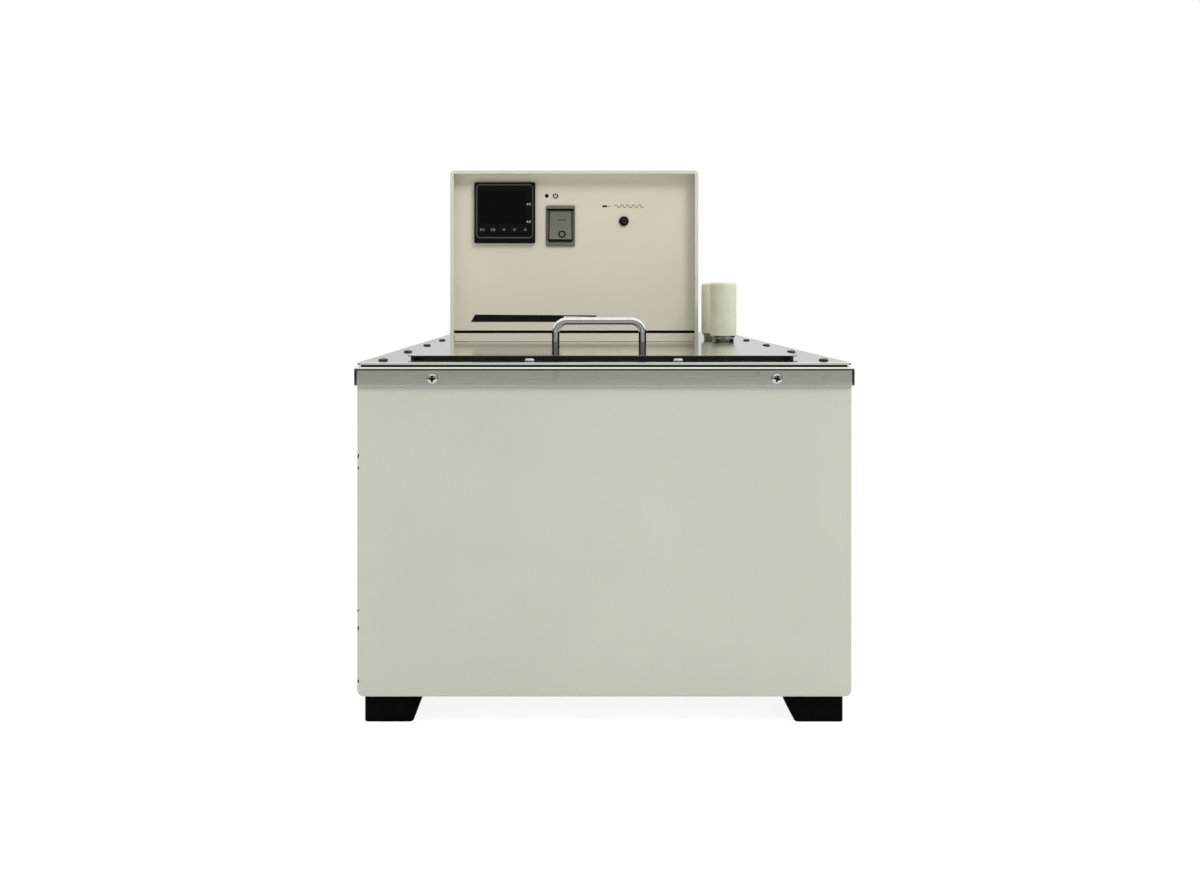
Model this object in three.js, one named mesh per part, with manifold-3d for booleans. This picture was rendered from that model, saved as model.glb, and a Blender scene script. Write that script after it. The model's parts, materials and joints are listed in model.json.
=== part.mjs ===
// Circulating water bath: a stainless tank in a painted case, with a lid in front and, on the deck behind it,
// a head that carries the controller, the circulating pump, the heater and the level switch.
// Millimetres, +Z up, the front faces -Y, the origin is on the table under the middle of the outline.

import * as THREE from 'three';
import { mergeVertices } from 'three/addons/utils/BufferGeometryUtils.js';
import Module from 'manifold-3d';

const wasm = await Module();
wasm.setup();

// Fits
const sheetGap = 0.1; // between sheets that are screwed together
const slipGap = 0.3; // round a piece that slips into another
const runningGap = 0.15; // round a piece that turns or slides in another
const restGap = 0.2; // under a piece that only rests in its place
const overrun = 1; // how far a cutter runs past the face that it cuts

// Facets
const cornerSteps = 3;
const bendSteps = 3;
const pipeBendSteps = 4;
const roundSides = 20;
const smallSides = 14;
const quarterTurn = Math.PI / 2;

// Control head, seen from the front
const headWidth = 193.5;
const headHeight = 134;
const headDepth = 178;
const headSheet = 1.2;
const headBend = 3.2;
const headRim = 2.8;
const headLeftMargin = 23;
const headRearMargin = 26;
const panelSetback = 10; // front panel behind the cover's front edge
const panelFlange = 10;
const panelSlot = 2; // dark gap between the base's front flange and the panel
const rearPanelSetback = 3;
const baseSheet = 1.5;
const baseFlange = 6;
const baseOpeningMargin = 14;

// Lid
const lidDepth = 156;
const lidFrontMargin = 31;
const lidSideMargin = 23.5;
const lidToHead = 34;
const lidSheet = 0.6;
const sealThickness = 1.1;
const sealWidth = 7;
const sealInset = 0.4;
const lidCorner = 12;
const lidLap = 10;
const lidSkirt = 8;
const openingCorner = 8;

// Lid handle
const handleRod = 2.5;
const handleSpan = 57;
const handleHeight = 17.6;
const handleBend = 7.5;
const studRadius = 1.9;
const handleSides = 12;
const nutAcrossCorners = 8;
const nutThickness = 3;

// Hose nozzles and their caps
const capRadius = 9.8;
const capHeight = 40.3;
const capBore = 7;
const capTop = 3;
const capEdge = 2.2;
const capToHead = 6.2;
const nozzleRightMargin = 29.7;
const nozzleAhead = 20.5; // front nozzle ahead of the head's front edge
const nozzleSpacing = 48.5;
const neckRadius = 7.85;
const neckHeight = 6;
const neckFlange = 8.7;
const neckFlangeHeight = 1;
const barbRadius = 6.6;
const barbWaist = 5.7;
const barbPitch = 10.5;
const barbRamp = 8;
const barbCount = 3;
const nozzleThread = 6;
const nozzleThreadLength = 14;
const nozzleBore = 4;
const nozzleNutAcross = 20;
const nozzleNutThickness = 5;

// Case, trim and feet
const footHeight = 16.9;
const footSize = 32;
const footTaper = 5.3;
const footLip = 3;
const footCorner = 2;
const footInset = 2.3; // from the case's sides
const footSetback = 7.6; // from the case's front and rear
const footScrewHead = 5;
const footScrewHole = 2.25;
const footScrewSeat = 6;
const caseHeight = 176.7;
const caseSheet = 1.2;
const caseBend = 3.5;
const caseLip = 16;
const caseFlange = 10;
const trimSheet = 1;
const trimSkirt = 10.4;
const trimBend = 2;
const trimCorner = 4;
const trimFlange = 18;
const trimGap = 1;
const deckSheet = 1.2;
const deckInset = 1.7;
const deckCorner = 3;
const gasketThickness = 0.7;
const gasketInset = 1.5;
const gasketWidth = 15;

// Tank and jacket
const tankSheet = 1;
const tankFloorRoom = 26.6; // between the case's bottom and the tank's floor
const tankSideMargin = 23;
const tankEndMargin = 24;
const tankCorner = 20;
const tankFloorBend = 12;

// Drain cock
const drainFromCentre = 60;
const drainAboveBend = 12;
const outletRadius = 8;
const outletBore = 5;
const outletFlange = 11;
const outletFlangeThickness = 2.5;
const outletReach = 4;
const cockHexAcross = 22;
const cockHexLength = 8;
const cockBarrel = 7.5;
const plugSpacing = 15; // from the hexagon's face to the plug's axis
const plugHousing = 8.5;
const plugHousingHeight = 11;
const plugRadius = 5.5;
const plugBore = 3;
const plugDepth = 19;
const plugHub = 7;
const plugHubHeight = 4;
const leverReach = 30;
const leverWidth = 7;
const leverThickness = 3;
const spoutSpacing = 13; // from the plug's axis to the spout's axis
const spoutRadius = 5.5;
const spoutBore = 3.4;
const spoutDrop = 25;
const spoutBead = 6.3;
const spoutBeadHeight = 3;

// Controller
const controllerFace = 48;
const controllerCorner = 1.2;
const controllerProud = 3.5;
const controllerChamfer = 0.5;
const controllerFromLeft = 42;
const controllerFromTop = 32.5;
const faceRecess = 0.8;
const faceRecessWidth = 43.2;
const faceRecessHeight = 40.7;
const faceRecessRise = 1.2;
const faceRecessCorner = 2.4;
const faceRecessSlope = 1.2;
const windowWidth = 36.4;
const windowHeight = 26.3;
const windowShift = -1.6;
const windowRise = 4.3;
const windowCorner = 0.8;
const windowThickness = 1.1;
const controllerBody = 44.8;
const controllerDepth = 62;
const controllerTerminals = 12;
const controllerTerminalInset = 5;
const keyNames = ['level_key', 'mode_key', 'shift_key', 'down_key', 'up_key'];
const keyWidth = 5.6;
const keyHeight = 3.6;
const keyCorner = 0.8;
const keyPitch = 8.5;
const keyShift = -0.8;
const keyDrop = 13.3;
const keyProud = 0.3;
const keyRim = 0.6;
const keyRimThickness = 0.6;
const keyWall = 1.1;
const keyTravel = 0.5;

// Rocker switch
const switchWidth = 22.9;
const switchHeight = 32.4;
const switchCorner = 1.2;
const switchProud = 1.8;
const switchChamfer = 0.7;
const switchFromLeft = 85.9;
const switchFromTop = 42.7;
const switchWall = 1.1;
const switchPocketWidth = 19.2;
const switchPocketHeight = 25.6;
const switchPocketDepth = 8;
const switchBodyDepth = 20;
const rockerWidth = 17.4;
const rockerHeight = 22.9;
const rockerTilt = THREE.MathUtils.degToRad(10);
const rockerWaist = 0.9;
const rockerEdge = 2.3;
const rockerHub = 4;
const rockerDrop = 4.2;
const pivotDepth = 1.5;
const pivotRadius = 1.2;
const pivotReach = 0.7;
const bladeWidth = 6.3;
const bladeThickness = 0.8;
const bladeLength = 9;
const bladePitch = 8;
const bladeCount = 3;

// Water level lamp
const lampRadius = 3.8;
const lampProud = 1.6;
const lampEdge = 0.5;
const lampSleeve = 3.05;
const lampDepth = 9;
const lampBore = 2.65;
const lampFromLeft = 135.9;
const lampFromTop = 38.9;
const lensDome = 2.2;
const lensTail = 7;

// Rear panel of the head
const ventColumns = 2;
const ventRows = 9;
const ventLength = 44;
const ventHeight = 3;
const ventPitch = 8.5;
const ventSpacing = 62;
const ventRise = 16;
const glandFromLeft = 30;
const glandRise = 16;
const glandRadius = 10;
const glandNose = 8;
const glandReach = 2.5;
const glandFlange = 2;
const glandNeck = 7.6;
const glandTail = 9;
const glandBore = 4.2;

// Pump motor
const motorRadius = 31;
const motorHeight = 58;
const motorFoot = 27;
const motorFootHeight = 5;
const motorShoulder = 12;
const motorBoss = 9;
const motorBossHeight = 3;
const ribCount = 12;
const ribWidth = 3;
const ribProud = 1.6;
const mountSize = 70;
const mountCorner = 4;
const mountPlate = 2;
const mountHeight = 26;
const mountLeg = 3.5;
const mountLegInset = 6;
const mountHole = 12;
const shaftRadius = 4;
const fanRadius = 27;
const fanHub = 8;
const fanHubHeight = 8;
const fanGap = 3;
const fanBlades = 7;
const fanBladeThickness = 1.2;
const fanBladePitch = THREE.MathUtils.degToRad(35);

// Pump in the tank
const columnRadius = 11;
const columnBore = 6.5;
const pumpAboveFloor = 21.7;
const columnFlange = 20;
const columnFlangeThickness = 3;
const columnPort = 3;
const columnPortRise = 12;
const voluteStart = 26;
const voluteGrowth = 7;
const voluteSteps = 28;
const voluteWall = 2.5;
const voluteHeight = 15;
const voluteTop = 4;
const coverThickness = 3;
const coverEye = 9;
const strainerHoles = 10;
const strainerRing = 15;
const strainerHole = 2;
const pumpOutlet = 7;
const pumpOutletBore = 4.5;
const pumpOutletReach = 40;
const impellerRadius = 21;
const impellerPlate = 2;
const impellerHub = 8;
const impellerHeight = 11;
const vaneCount = 6;
const vaneThickness = 1.8;
const vaneSweep = THREE.MathUtils.degToRad(75);
const vaneSteps = 5;

// Pipes, heater, probe and float
const pipeRadius = 6;
const pipeWall = 1.2;
const pipeSides = 10;
const pipeBend = 22;
const returnLength = 70;
const heaterRadius = 4;
const heaterSides = 8;
const heaterBend = 14;
const heaterSpread = 102;
const heaterAhead = 59;
const heaterBehind = 64;
const heaterAboveFloor = 12;
const heaterTop = 18;
const fittingRadius = 7.5;
const fittingHeight = 6;
const probeRadius = 2.5;
const probeLength = 118;
const probeTop = 10;
const sensorSpread = 30;
const sensorBehind = 48;
const stemRadius = 4;
const stemLength = 62;
const stopRadius = 7;
const stopHeight = 3;
const floatRadius = 12;
const floatHeight = 20;
const floatEdge = 3;
const floatTravel = 10;

// Electrics in the head
const relayToMount = 8.75; // from the motor's mount to the relay
const relayDepth = 58;
const relayHeight = 23;
const relayCorner = 2;
const relayInset = 5;
const sinkFins = 6;
const sinkFin = 2;
const sinkHeight = 14;
const terminalWays = 6;
const terminalPitch = 9;
const terminalDepth = 20;
const terminalHeight = 15;
const terminalWall = 1.5;
const terminalSlot = 7;
const terminalInset = 8;

// Sizes that follow from the ones above
const trimWidth = headLeftMargin + headWidth + capToHead + 2 * capRadius + nozzleRightMargin;
const trimDepth = lidFrontMargin + lidDepth + lidToHead + headDepth + headRearMargin;
const caseWidth = trimWidth - 2 * (trimSheet + trimGap);
const caseDepth = trimDepth - 2 * (trimSheet + trimGap);
const caseBottom = footHeight + sheetGap;
const caseTop = caseBottom + caseHeight;
const tankRimTop = caseTop + sheetGap + tankSheet;
const trimTop = tankRimTop + sheetGap + trimSheet;
const gasketTop = trimTop + sheetGap + gasketThickness;
const deckTop = gasketTop + sheetGap + deckSheet;
const deckWidth = trimWidth - 2 * deckInset;
const deckDepth = trimDepth - 2 * deckInset;
const tankWidth = trimWidth - 2 * tankSideMargin;
const tankDepth = trimDepth - 2 * tankEndMargin;
const lidWidth = trimWidth - 2 * lidSideMargin;
const lidRise = sealThickness + sheetGap + lidSheet;
const leftX = -trimWidth / 2;
const frontY = -trimDepth / 2;
const lidY = frontY + lidFrontMargin + lidDepth / 2;
const headX = leftX + headLeftMargin + headWidth / 2;
const headFront = frontY + lidFrontMargin + lidDepth + lidToHead;
const headY = headFront + headDepth / 2;
const headBottom = deckTop + sheetGap;
const panelY = headFront + panelSetback;
const rearPanelY = headFront + headDepth - rearPanelSetback;
const baseWidth = headWidth - 2 * (headSheet + slipGap);
const baseDepth = rearPanelY - panelY;
const baseY = (panelY + rearPanelY) / 2;
const sideRoom = baseWidth / 2 - baseSheet; // from the pump's axis to the base's upturned edge
const relayWidth = sideRoom - relayInset - relayToMount - mountSize / 2;
const baseTop = headBottom + baseSheet;
const panelBottom = headBottom + baseFlange + panelSlot;
const panelHeight = headBottom + headHeight - headSheet - slipGap - panelBottom;
const nozzleX = headX + headWidth / 2 + capToHead + capRadius;
const frontNozzleY = headFront - nozzleAhead;
const tankFloor = caseBottom + caseSheet + tankFloorRoom;
const tankHeight = tankRimTop - tankFloor;
const pumpBottom = tankFloor + tankSheet + pumpAboveFloor;
const pumpTop = pumpBottom + coverThickness + sheetGap + voluteHeight + voluteTop;
const columnLength = baseTop + columnFlangeThickness - pumpTop;
const pumpMiddle = pumpTop - voluteTop - voluteHeight / 2;
const terminalLength = terminalWays * terminalPitch + terminalWall;

// Finishes
const creamPaint = { color: 0xd6d3c2, roughness: 0.42, metalness: 0 };
const stainless = { color: 0xc9cbc8, roughness: 0.22, metalness: 1 };
const polished = { color: 0xd9dbd9, roughness: 0.1, metalness: 1 };
const blackRubber = { color: 0x151514, roughness: 0.8, metalness: 0 };
const blackPlastic = { color: 0x121214, roughness: 0.4, metalness: 0 };
const smokedWindow = { color: 0x1a1b1c, roughness: 0.12, metalness: 0 };
const greyPlastic = { color: 0x8b8d87, roughness: 0.5, metalness: 0 };
const capPlastic = { color: 0xd9d8c6, roughness: 0.55, metalness: 0 };
const redLens = { color: 0x7a1410, roughness: 0.15, metalness: 0 };
const brass = { color: 0xb9a05a, roughness: 0.3, metalness: 1 };
const foam = { color: 0xd8cfa8, roughness: 0.95, metalness: 0 };
const castGrey = { color: 0x4b4f52, roughness: 0.6, metalness: 0.3 };
const whitePlastic = { color: 0xe6e4da, roughness: 0.45, metalness: 0 };

// A closed geometry as a solid that can be joined and cut, with its faces turned outwards.
function solidOf(geometry) {
  const bare = geometry.clone();
  bare.deleteAttribute('normal');
  bare.deleteAttribute('uv');
  const merged = mergeVertices(bare);
  const corners = merged.index.array;
  const kept = [];
  for (let i = 0; i < corners.length; i += 3) {
    const [a, b, c] = [corners[i], corners[i + 1], corners[i + 2]];
    if (a !== b && b !== c && c !== a) kept.push(a, b, c);
  }
  const build = (triangles) => new wasm.Manifold(new wasm.Mesh({
    numProp: 3,
    vertProperties: Float32Array.from(merged.attributes.position.array),
    triVerts: Uint32Array.from(triangles),
  }));
  const solid = build(kept);
  return solid.volume() > 0 ? solid : build(kept.reverse());
}

function geometryOf(solid) {
  const { vertProperties, triVerts } = solid.getMesh();
  const geometry = new THREE.BufferGeometry();
  geometry.setAttribute('position', new THREE.BufferAttribute(vertProperties, 3));
  geometry.setIndex(new THREE.BufferAttribute(triVerts, 1));
  geometry.computeVertexNormals();
  return geometry;
}

function join(...pieces) {
  return geometryOf(pieces.map(solidOf).reduce((whole, piece) => whole.add(piece)));
}

function cut(piece, ...tools) {
  return geometryOf(tools.map(solidOf).reduce((whole, tool) => whole.subtract(tool), solidOf(piece)));
}

// Corner points of a rounded rectangle about the origin, anticlockwise.
function roundedPoints(width, depth, corner) {
  const points = [];
  for (let quarter = 0; quarter < 4; quarter += 1) {
    const middle = (quarter - 1 / 2) * quarterTurn;
    const centreX = Math.sign(Math.cos(middle)) * (width / 2 - corner);
    const centreY = Math.sign(Math.sin(middle)) * (depth / 2 - corner);
    for (let step = 0; step <= cornerSteps; step += 1) {
      const angle = (quarter - 1 + step / cornerSteps) * quarterTurn;
      points.push([centreX + corner * Math.cos(angle), centreY + corner * Math.sin(angle)]);
    }
  }
  return points;
}

// A solid through rounded rectangles stacked upwards; each level may be shifted sideways.
function loft(levels) {
  const count = 4 * (cornerSteps + 1);
  const positions = [];
  const triangles = [];
  levels.forEach(({ width, depth, corner, z, x = 0, y = 0 }) => {
    roundedPoints(width, depth, corner).forEach((point) => positions.push(point[0] + x, point[1] + y, z));
  });
  for (let level = 0; level + 1 < levels.length; level += 1) {
    for (let i = 0; i < count; i += 1) {
      const here = level * count + i;
      const next = level * count + ((i + 1) % count);
      triangles.push(here, next, next + count, here, next + count, here + count);
    }
  }
  const top = (levels.length - 1) * count;
  for (let i = 1; i + 1 < count; i += 1) {
    triangles.push(0, i + 1, i, top, top + i, top + i + 1);
  }
  const geometry = new THREE.BufferGeometry();
  geometry.setAttribute('position', new THREE.Float32BufferAttribute(positions, 3));
  geometry.setIndex(triangles);
  return geometry;
}

// A flat slab with rounded corners, from `low` up to `high`.
function slab(width, depth, corner, low, high) {
  return loft([{ width, depth, corner, z: low }, { width, depth, corner, z: high }]);
}

// A slab whose upper edge is chamfered.
function chamferedSlab(width, depth, corner, low, high, chamfer) {
  const inset = 2 * chamfer;
  return loft([
    { width, depth, corner, z: low },
    { width, depth, corner, z: high - chamfer },
    { width: width - inset, depth: depth - inset, corner, z: high },
  ]);
}

function block(width, depth, low, high) {
  return new THREE.BoxGeometry(width, depth, high - low).translate(0, 0, (low + high) / 2);
}

// A round bar about the Z axis, from `low` up to `high`.
function bar(radius, low, high, sides = roundSides) {
  const geometry = new THREE.CylinderGeometry(radius, radius, high - low, sides);
  return geometry.rotateX(quarterTurn).translate(0, 0, (low + high) / 2);
}

// The same bar about the Y axis, from `near` back to `far`.
function barAlongY(radius, near, far, sides = roundSides) {
  return bar(radius, near, far, sides).rotateX(-quarterTurn);
}

// A round piece about the Z axis; the profile runs through [radius, height] points.
function turned(profile, sides = roundSides) {
  const points = profile.map(([radius, height]) => new THREE.Vector2(radius, height));
  return new THREE.LatheGeometry(points, sides).rotateX(quarterTurn);
}

// A tube or rod along a path; without a bore it is solid.
function swept(path, radius, bore, sides) {
  const section = new THREE.Shape(circlePoints(radius, sides));
  if (bore > 0) section.holes.push(new THREE.Path(circlePoints(bore, sides).reverse()));
  return new THREE.ExtrudeGeometry(section, { steps: path.steps, extrudePath: path, bevelEnabled: false });
}

function circlePoints(radius, sides) {
  return Array.from({ length: sides }, (_, i) => {
    const angle = (i * 4 * quarterTurn) / sides;
    return new THREE.Vector2(radius * Math.cos(angle), radius * Math.sin(angle));
  });
}

// A path of straight runs through the corners, with round bends: one step along each straight run and
// `pipeBendSteps` round each bend.
class BentPath extends THREE.Curve {
  constructor(corners, bend) {
    super();
    const points = corners.map((corner) => new THREE.Vector3(...corner));
    this.stations = [];
    let start = points[0];
    for (let i = 1; i + 1 < points.length; i += 1) {
      const into = points[i].clone().sub(points[i - 1]).normalize();
      const out = points[i + 1].clone().sub(points[i]).normalize();
      const bendStart = points[i].clone().addScaledVector(into, -bend);
      const bendEnd = points[i].clone().addScaledVector(out, bend);
      const centre = bendStart.clone().addScaledVector(out, bend);
      this.addRun(start, bendStart);
      this.addBend(centre, out.negate(), into, bend);
      start = bendEnd;
    }
    this.addRun(start, points[points.length - 1]);
    this.steps = this.stations.length;
  }

  addRun(from, to) {
    this.stations.push((share) => from.clone().lerp(to, share));
  }

  addBend(centre, from, to, bend) {
    for (let step = 0; step < pipeBendSteps; step += 1) {
      this.stations.push((share) => {
        const angle = ((step + share) / pipeBendSteps) * quarterTurn;
        return centre.clone().addScaledVector(from, bend * Math.cos(angle))
          .addScaledVector(to, bend * Math.sin(angle));
      });
    }
  }

  getPoint(t) {
    const place = Math.min(t * this.steps, this.steps);
    const station = Math.min(Math.floor(place), this.steps - 1);
    return this.stations[station](place - station);
  }

  getUtoTmapping(u) {
    return u;
  }
}

// A folded sheet with square bends: `corners` follow its outer face, and every fold turns the same way.
// The section lies in X and Z, and the sheet runs along Y about the middle.
function foldedSheet(corners, sheet, bend, length) {
  const points = corners.map(([x, y]) => new THREE.Vector2(x, y));
  const last = points.length - 1;
  const heading = (i) => points[i + 1].clone().sub(points[i]).normalize();
  const outer = [points[0]];
  const inner = [points[0].clone().addScaledVector(heading(1), sheet)];
  for (let i = 1; i < last; i += 1) {
    const into = heading(i - 1);
    const out = heading(i);
    const centre = points[i].clone().addScaledVector(into, -bend).addScaledVector(out, bend);
    for (let step = 0; step <= bendSteps; step += 1) {
      const angle = (step / bendSteps) * quarterTurn;
      const radial = into.clone().multiplyScalar(Math.sin(angle)).addScaledVector(out, -Math.cos(angle));
      outer.push(centre.clone().addScaledVector(radial, bend));
      inner.push(centre.clone().addScaledVector(radial, bend - sheet));
    }
  }
  outer.push(points[last]);
  inner.push(points[last].clone().addScaledVector(heading(last - 2), -sheet));
  const outline = new THREE.Shape([...outer, ...inner.reverse()]);
  const geometry = new THREE.ExtrudeGeometry(outline, { depth: length, bevelEnabled: false });
  return geometry.rotateX(quarterTurn).translate(0, length / 2, 0);
}

// A piece drawn with X to the right, Y up and Z towards the viewer, turned to face the front.
function facingFront(geometry) {
  return geometry.rotateX(quarterTurn);
}

function add(parent, name, geometry, finish, x = 0, y = 0, z = 0) {
  const mesh = new THREE.Mesh(geometry, new THREE.MeshStandardMaterial(finish));
  mesh.name = name;
  mesh.position.set(x, y, z);
  parent.add(mesh);
  return mesh;
}

function groupAt(parent, x, y, z) {
  const group = new THREE.Group();
  group.position.set(x, y, z);
  parent.add(group);
  return group;
}

// Sides and bottom of the case, folded from one sheet, with lips that carry the tank's rim.
function caseWrap() {
  const side = caseWidth / 2;
  const lipEnd = side - caseLip;
  const corners = [
    [-lipEnd, caseHeight], [-side, caseHeight], [-side, 0], [side, 0], [side, caseHeight], [lipEnd, caseHeight],
  ];
  return foldedSheet(corners, caseSheet, caseBend, caseDepth - 2 * (caseSheet + slipGap));
}

// Front or rear of the case: a flat face with rounded lower corners, and a flange that slips into the wrap.
// Drawn facing the viewer, with its lower edge at Y 0.
function caseEnd() {
  const face = join(
    slab(caseWidth, caseHeight, caseBend, 0, caseSheet),
    block(caseWidth, caseBend * 2, 0, caseSheet).translate(0, caseHeight / 2 - caseBend, 0),
  );
  const flangeWidth = caseWidth - 2 * (caseSheet + slipGap);
  const flangeHeight = caseHeight - 2 * (caseSheet + slipGap);
  const flange = cut(
    slab(flangeWidth, flangeHeight, caseBend, -caseFlange, sheetGap),
    slab(flangeWidth - 2 * caseSheet, flangeHeight - 2 * caseSheet, caseBend - caseSheet,
      -caseFlange - overrun, sheetGap + overrun),
  );
  return join(face, flange).translate(0, caseHeight / 2, 0);
}

// Rubber foot: upright outside, slanting in on its two inner sides under a short upright lip.
// The inner sides face +X and +Y.
function foot() {
  const shift = -footTaper / 2;
  const bottom = footSize - footTaper;
  const body = loft([
    { width: bottom, depth: bottom, corner: footCorner, z: 0, x: shift, y: shift },
    { width: footSize, depth: footSize, corner: footCorner, z: footHeight - footLip },
    { width: footSize, depth: footSize, corner: footCorner, z: footHeight },
  ]);
  return cut(
    body,
    bar(footScrewHead, -overrun, footHeight - footScrewSeat, smallSides),
    bar(footScrewHole, 0, footHeight + overrun, smallSides),
  );
}

// Trim round the top: a skirt with a rolled upper edge and a flange that runs in under the deck.
function trimShell(inset) {
  const width = trimWidth - 2 * inset;
  const depth = trimDepth - 2 * inset;
  const bend = trimBend - inset;
  const top = trimSkirt - inset;
  const levels = [{ width, depth, corner: trimCorner - inset, z: inset > 0 ? -overrun : 0 }];
  for (let step = 0; step <= bendSteps; step += 1) {
    const angle = (step / bendSteps) * quarterTurn;
    const rise = bend * Math.sin(angle);
    const draw = 2 * bend * (1 - Math.cos(angle));
    levels.push({ width: width - draw, depth: depth - draw, corner: trimCorner - inset, z: top - bend + rise });
  }
  return loft(levels);
}

function trimFrame() {
  return cut(
    trimShell(0),
    trimShell(trimSheet),
    slab(trimWidth - 2 * trimFlange, trimDepth - 2 * trimFlange, trimCorner, 0, trimSkirt + overrun),
  );
}

function gasket() {
  const width = deckWidth - 2 * gasketInset;
  const depth = deckDepth - 2 * gasketInset;
  return cut(
    slab(width, depth, deckCorner, 0, gasketThickness),
    slab(width - 2 * gasketWidth, depth - 2 * gasketWidth, deckCorner, -overrun, gasketThickness + overrun),
  );
}

// Deck plate with the lid's opening, the head's opening and a hole for each nozzle.
function deckPlate() {
  const through = deckSheet + overrun;
  const lidOpening = slab(lidWidth - 2 * lidLap, lidDepth - 2 * lidLap, openingCorner, -overrun, through);
  const headOpening = slab(baseWidth - 2 * baseOpeningMargin, baseDepth - 2 * baseOpeningMargin,
    openingCorner, -overrun, through);
  const nozzleHoles = [0, nozzleSpacing].map((step) => bar(nozzleThread + slipGap, -overrun, through)
    .translate(nozzleX, frontNozzleY + step, 0));
  return cut(
    slab(deckWidth, deckDepth, deckCorner, 0, deckSheet),
    lidOpening.translate(0, lidY, 0),
    headOpening.translate(headX, baseY, 0),
    ...nozzleHoles,
  );
}

// The tank's outside grown by `grow`, from its floor up to `top`.
function tankShell(grow, top) {
  const width = tankWidth + 2 * grow;
  const depth = tankDepth + 2 * grow;
  const bend = tankFloorBend + grow;
  const levels = [];
  for (let step = 0; step <= bendSteps; step += 1) {
    const angle = (step / bendSteps) * quarterTurn;
    const draw = 2 * bend * (1 - Math.sin(angle));
    levels.push({
      width: width - draw,
      depth: depth - draw,
      corner: tankCorner + grow,
      z: bend - grow - bend * Math.cos(angle),
    });
  }
  levels.push({ width, depth, corner: tankCorner + grow, z: top });
  return loft(levels);
}

const outletHeight = tankFloorBend + drainAboveBend; // drain's axis above the tank's floor
const outletStart = tankDepth / 2 - tankSheet;

// Deep drawn tank with a flat rim; the floor is at Z 0.
function innerTank() {
  const rimWidth = caseWidth - 2 * (caseSheet + slipGap);
  const rimDepth = caseDepth - 2 * (caseSheet + slipGap);
  const rim = slab(rimWidth, rimDepth, trimCorner, tankHeight - tankSheet, tankHeight);
  return cut(
    join(tankShell(0, tankHeight), rim),
    tankShell(-tankSheet, tankHeight + overrun),
    barAlongY(outletRadius + slipGap, outletStart - overrun, tankDepth / 2 + overrun)
      .translate(drainFromCentre, 0, outletHeight),
  );
}

// Foam between the tank and the case; its floor stands on the case's bottom.
function insulationJacket() {
  const bottom = caseBottom + caseSheet + sheetGap - tankFloor;
  const top = caseTop - caseSheet - slipGap - tankFloor;
  const width = caseWidth - 2 * (caseSheet + slipGap);
  const depth = caseDepth - 2 * (caseSheet + caseFlange + slipGap);
  const narrow = width - 2 * caseBend;
  return cut(
    loft([
      { width: narrow, depth, corner: caseBend, z: bottom },
      { width, depth, corner: caseBend, z: bottom + caseBend },
      { width, depth, corner: caseBend, z: top - caseBend },
      { width: narrow, depth, corner: caseBend, z: top },
    ]),
    tankShell(slipGap, top + overrun),
    barAlongY(outletRadius + slipGap, outletStart, caseDepth / 2).translate(drainFromCentre, 0, outletHeight),
  );
}

// Lid: a thin sheet over its seal, with a skirt below that finds the opening.
function lid() {
  const sheet = chamferedSlab(lidWidth, lidDepth, lidCorner, lidRise - lidSheet, lidRise, lidSheet / 2);
  const skirtWidth = lidWidth - 2 * (lidLap + slipGap + lidSheet);
  const skirtDepth = lidDepth - 2 * (lidLap + slipGap + lidSheet);
  const skirt = cut(
    slab(skirtWidth, skirtDepth, openingCorner - lidSheet, -lidSkirt, lidRise - lidSheet / 2),
    slab(skirtWidth - 2 * lidSheet, skirtDepth - 2 * lidSheet, openingCorner - 2 * lidSheet,
      -lidSkirt - overrun, lidRise),
  );
  const studs = [-1, 1].map((side) => bar(studRadius + slipGap, -overrun, lidRise + overrun, smallSides)
    .translate(side * handleSpan / 2, 0, 0));
  return cut(join(sheet, skirt), ...studs);
}

// Seal under the lid's edge: a flat rubber ring that rests on the deck.
function lidSeal() {
  const inner = sealInset + sealWidth;
  return cut(
    slab(lidWidth - 2 * sealInset, lidDepth - 2 * sealInset, lidCorner - sealInset, 0, sealThickness),
    slab(lidWidth - 2 * inner, lidDepth - 2 * inner, lidCorner - inner, -overrun, sealThickness + overrun),
  );
}

// Handle: one bent rod, its lower ends turned down to studs that pass through the lid.
function lidHandle() {
  const side = handleSpan / 2;
  const top = handleHeight;
  const path = new BentPath([[-side, 0, 0], [-side, 0, top], [side, 0, top], [side, 0, 0]], handleBend);
  const studs = [-1, 1].map((end) => bar(studRadius, -lidSheet - nutThickness - 2 * sheetGap, handleRod, smallSides)
    .translate(end * side, 0, 0));
  return join(swept(path, handleRod, 0, handleSides), ...studs);
}

function hexNut(acrossCorners, thickness, bore) {
  return cut(
    new THREE.CylinderGeometry(acrossCorners / 2, acrossCorners / 2, thickness, 6).rotateX(quarterTurn)
      .translate(0, 0, thickness / 2),
    bar(bore, -overrun, thickness + overrun, smallSides),
  );
}

// Cover of the head: one sheet over both sides and the top, with a rim folded in at each end.
function headCover() {
  const side = headWidth / 2;
  const corners = [[-side, 0], [-side, headHeight], [side, headHeight], [side, 0]];
  const rimAt = headDepth / 2 - headSheet / 2;
  const rim = () => foldedSheet(corners, headRim, headBend, headSheet);
  return join(
    foldedSheet(corners, headSheet, headBend, headDepth),
    rim().translate(0, -rimAt, 0),
    rim().translate(0, rimAt, 0),
  );
}

// A flat panel with a flange behind it, drawn facing the viewer with its face at Z 0 and its foot at Y 0.
function headPanel() {
  return cut(
    slab(baseWidth, panelHeight, headSheet, -panelFlange, 0),
    slab(baseWidth - 2 * headSheet, panelHeight - 2 * headSheet, headSheet, -panelFlange - overrun, -headSheet),
  ).translate(0, panelHeight / 2, 0);
}

const panelTopInset = headSheet + slipGap; // from the cover's top down to the panel's upper edge
const panelLeftInset = headSheet + slipGap;

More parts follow.
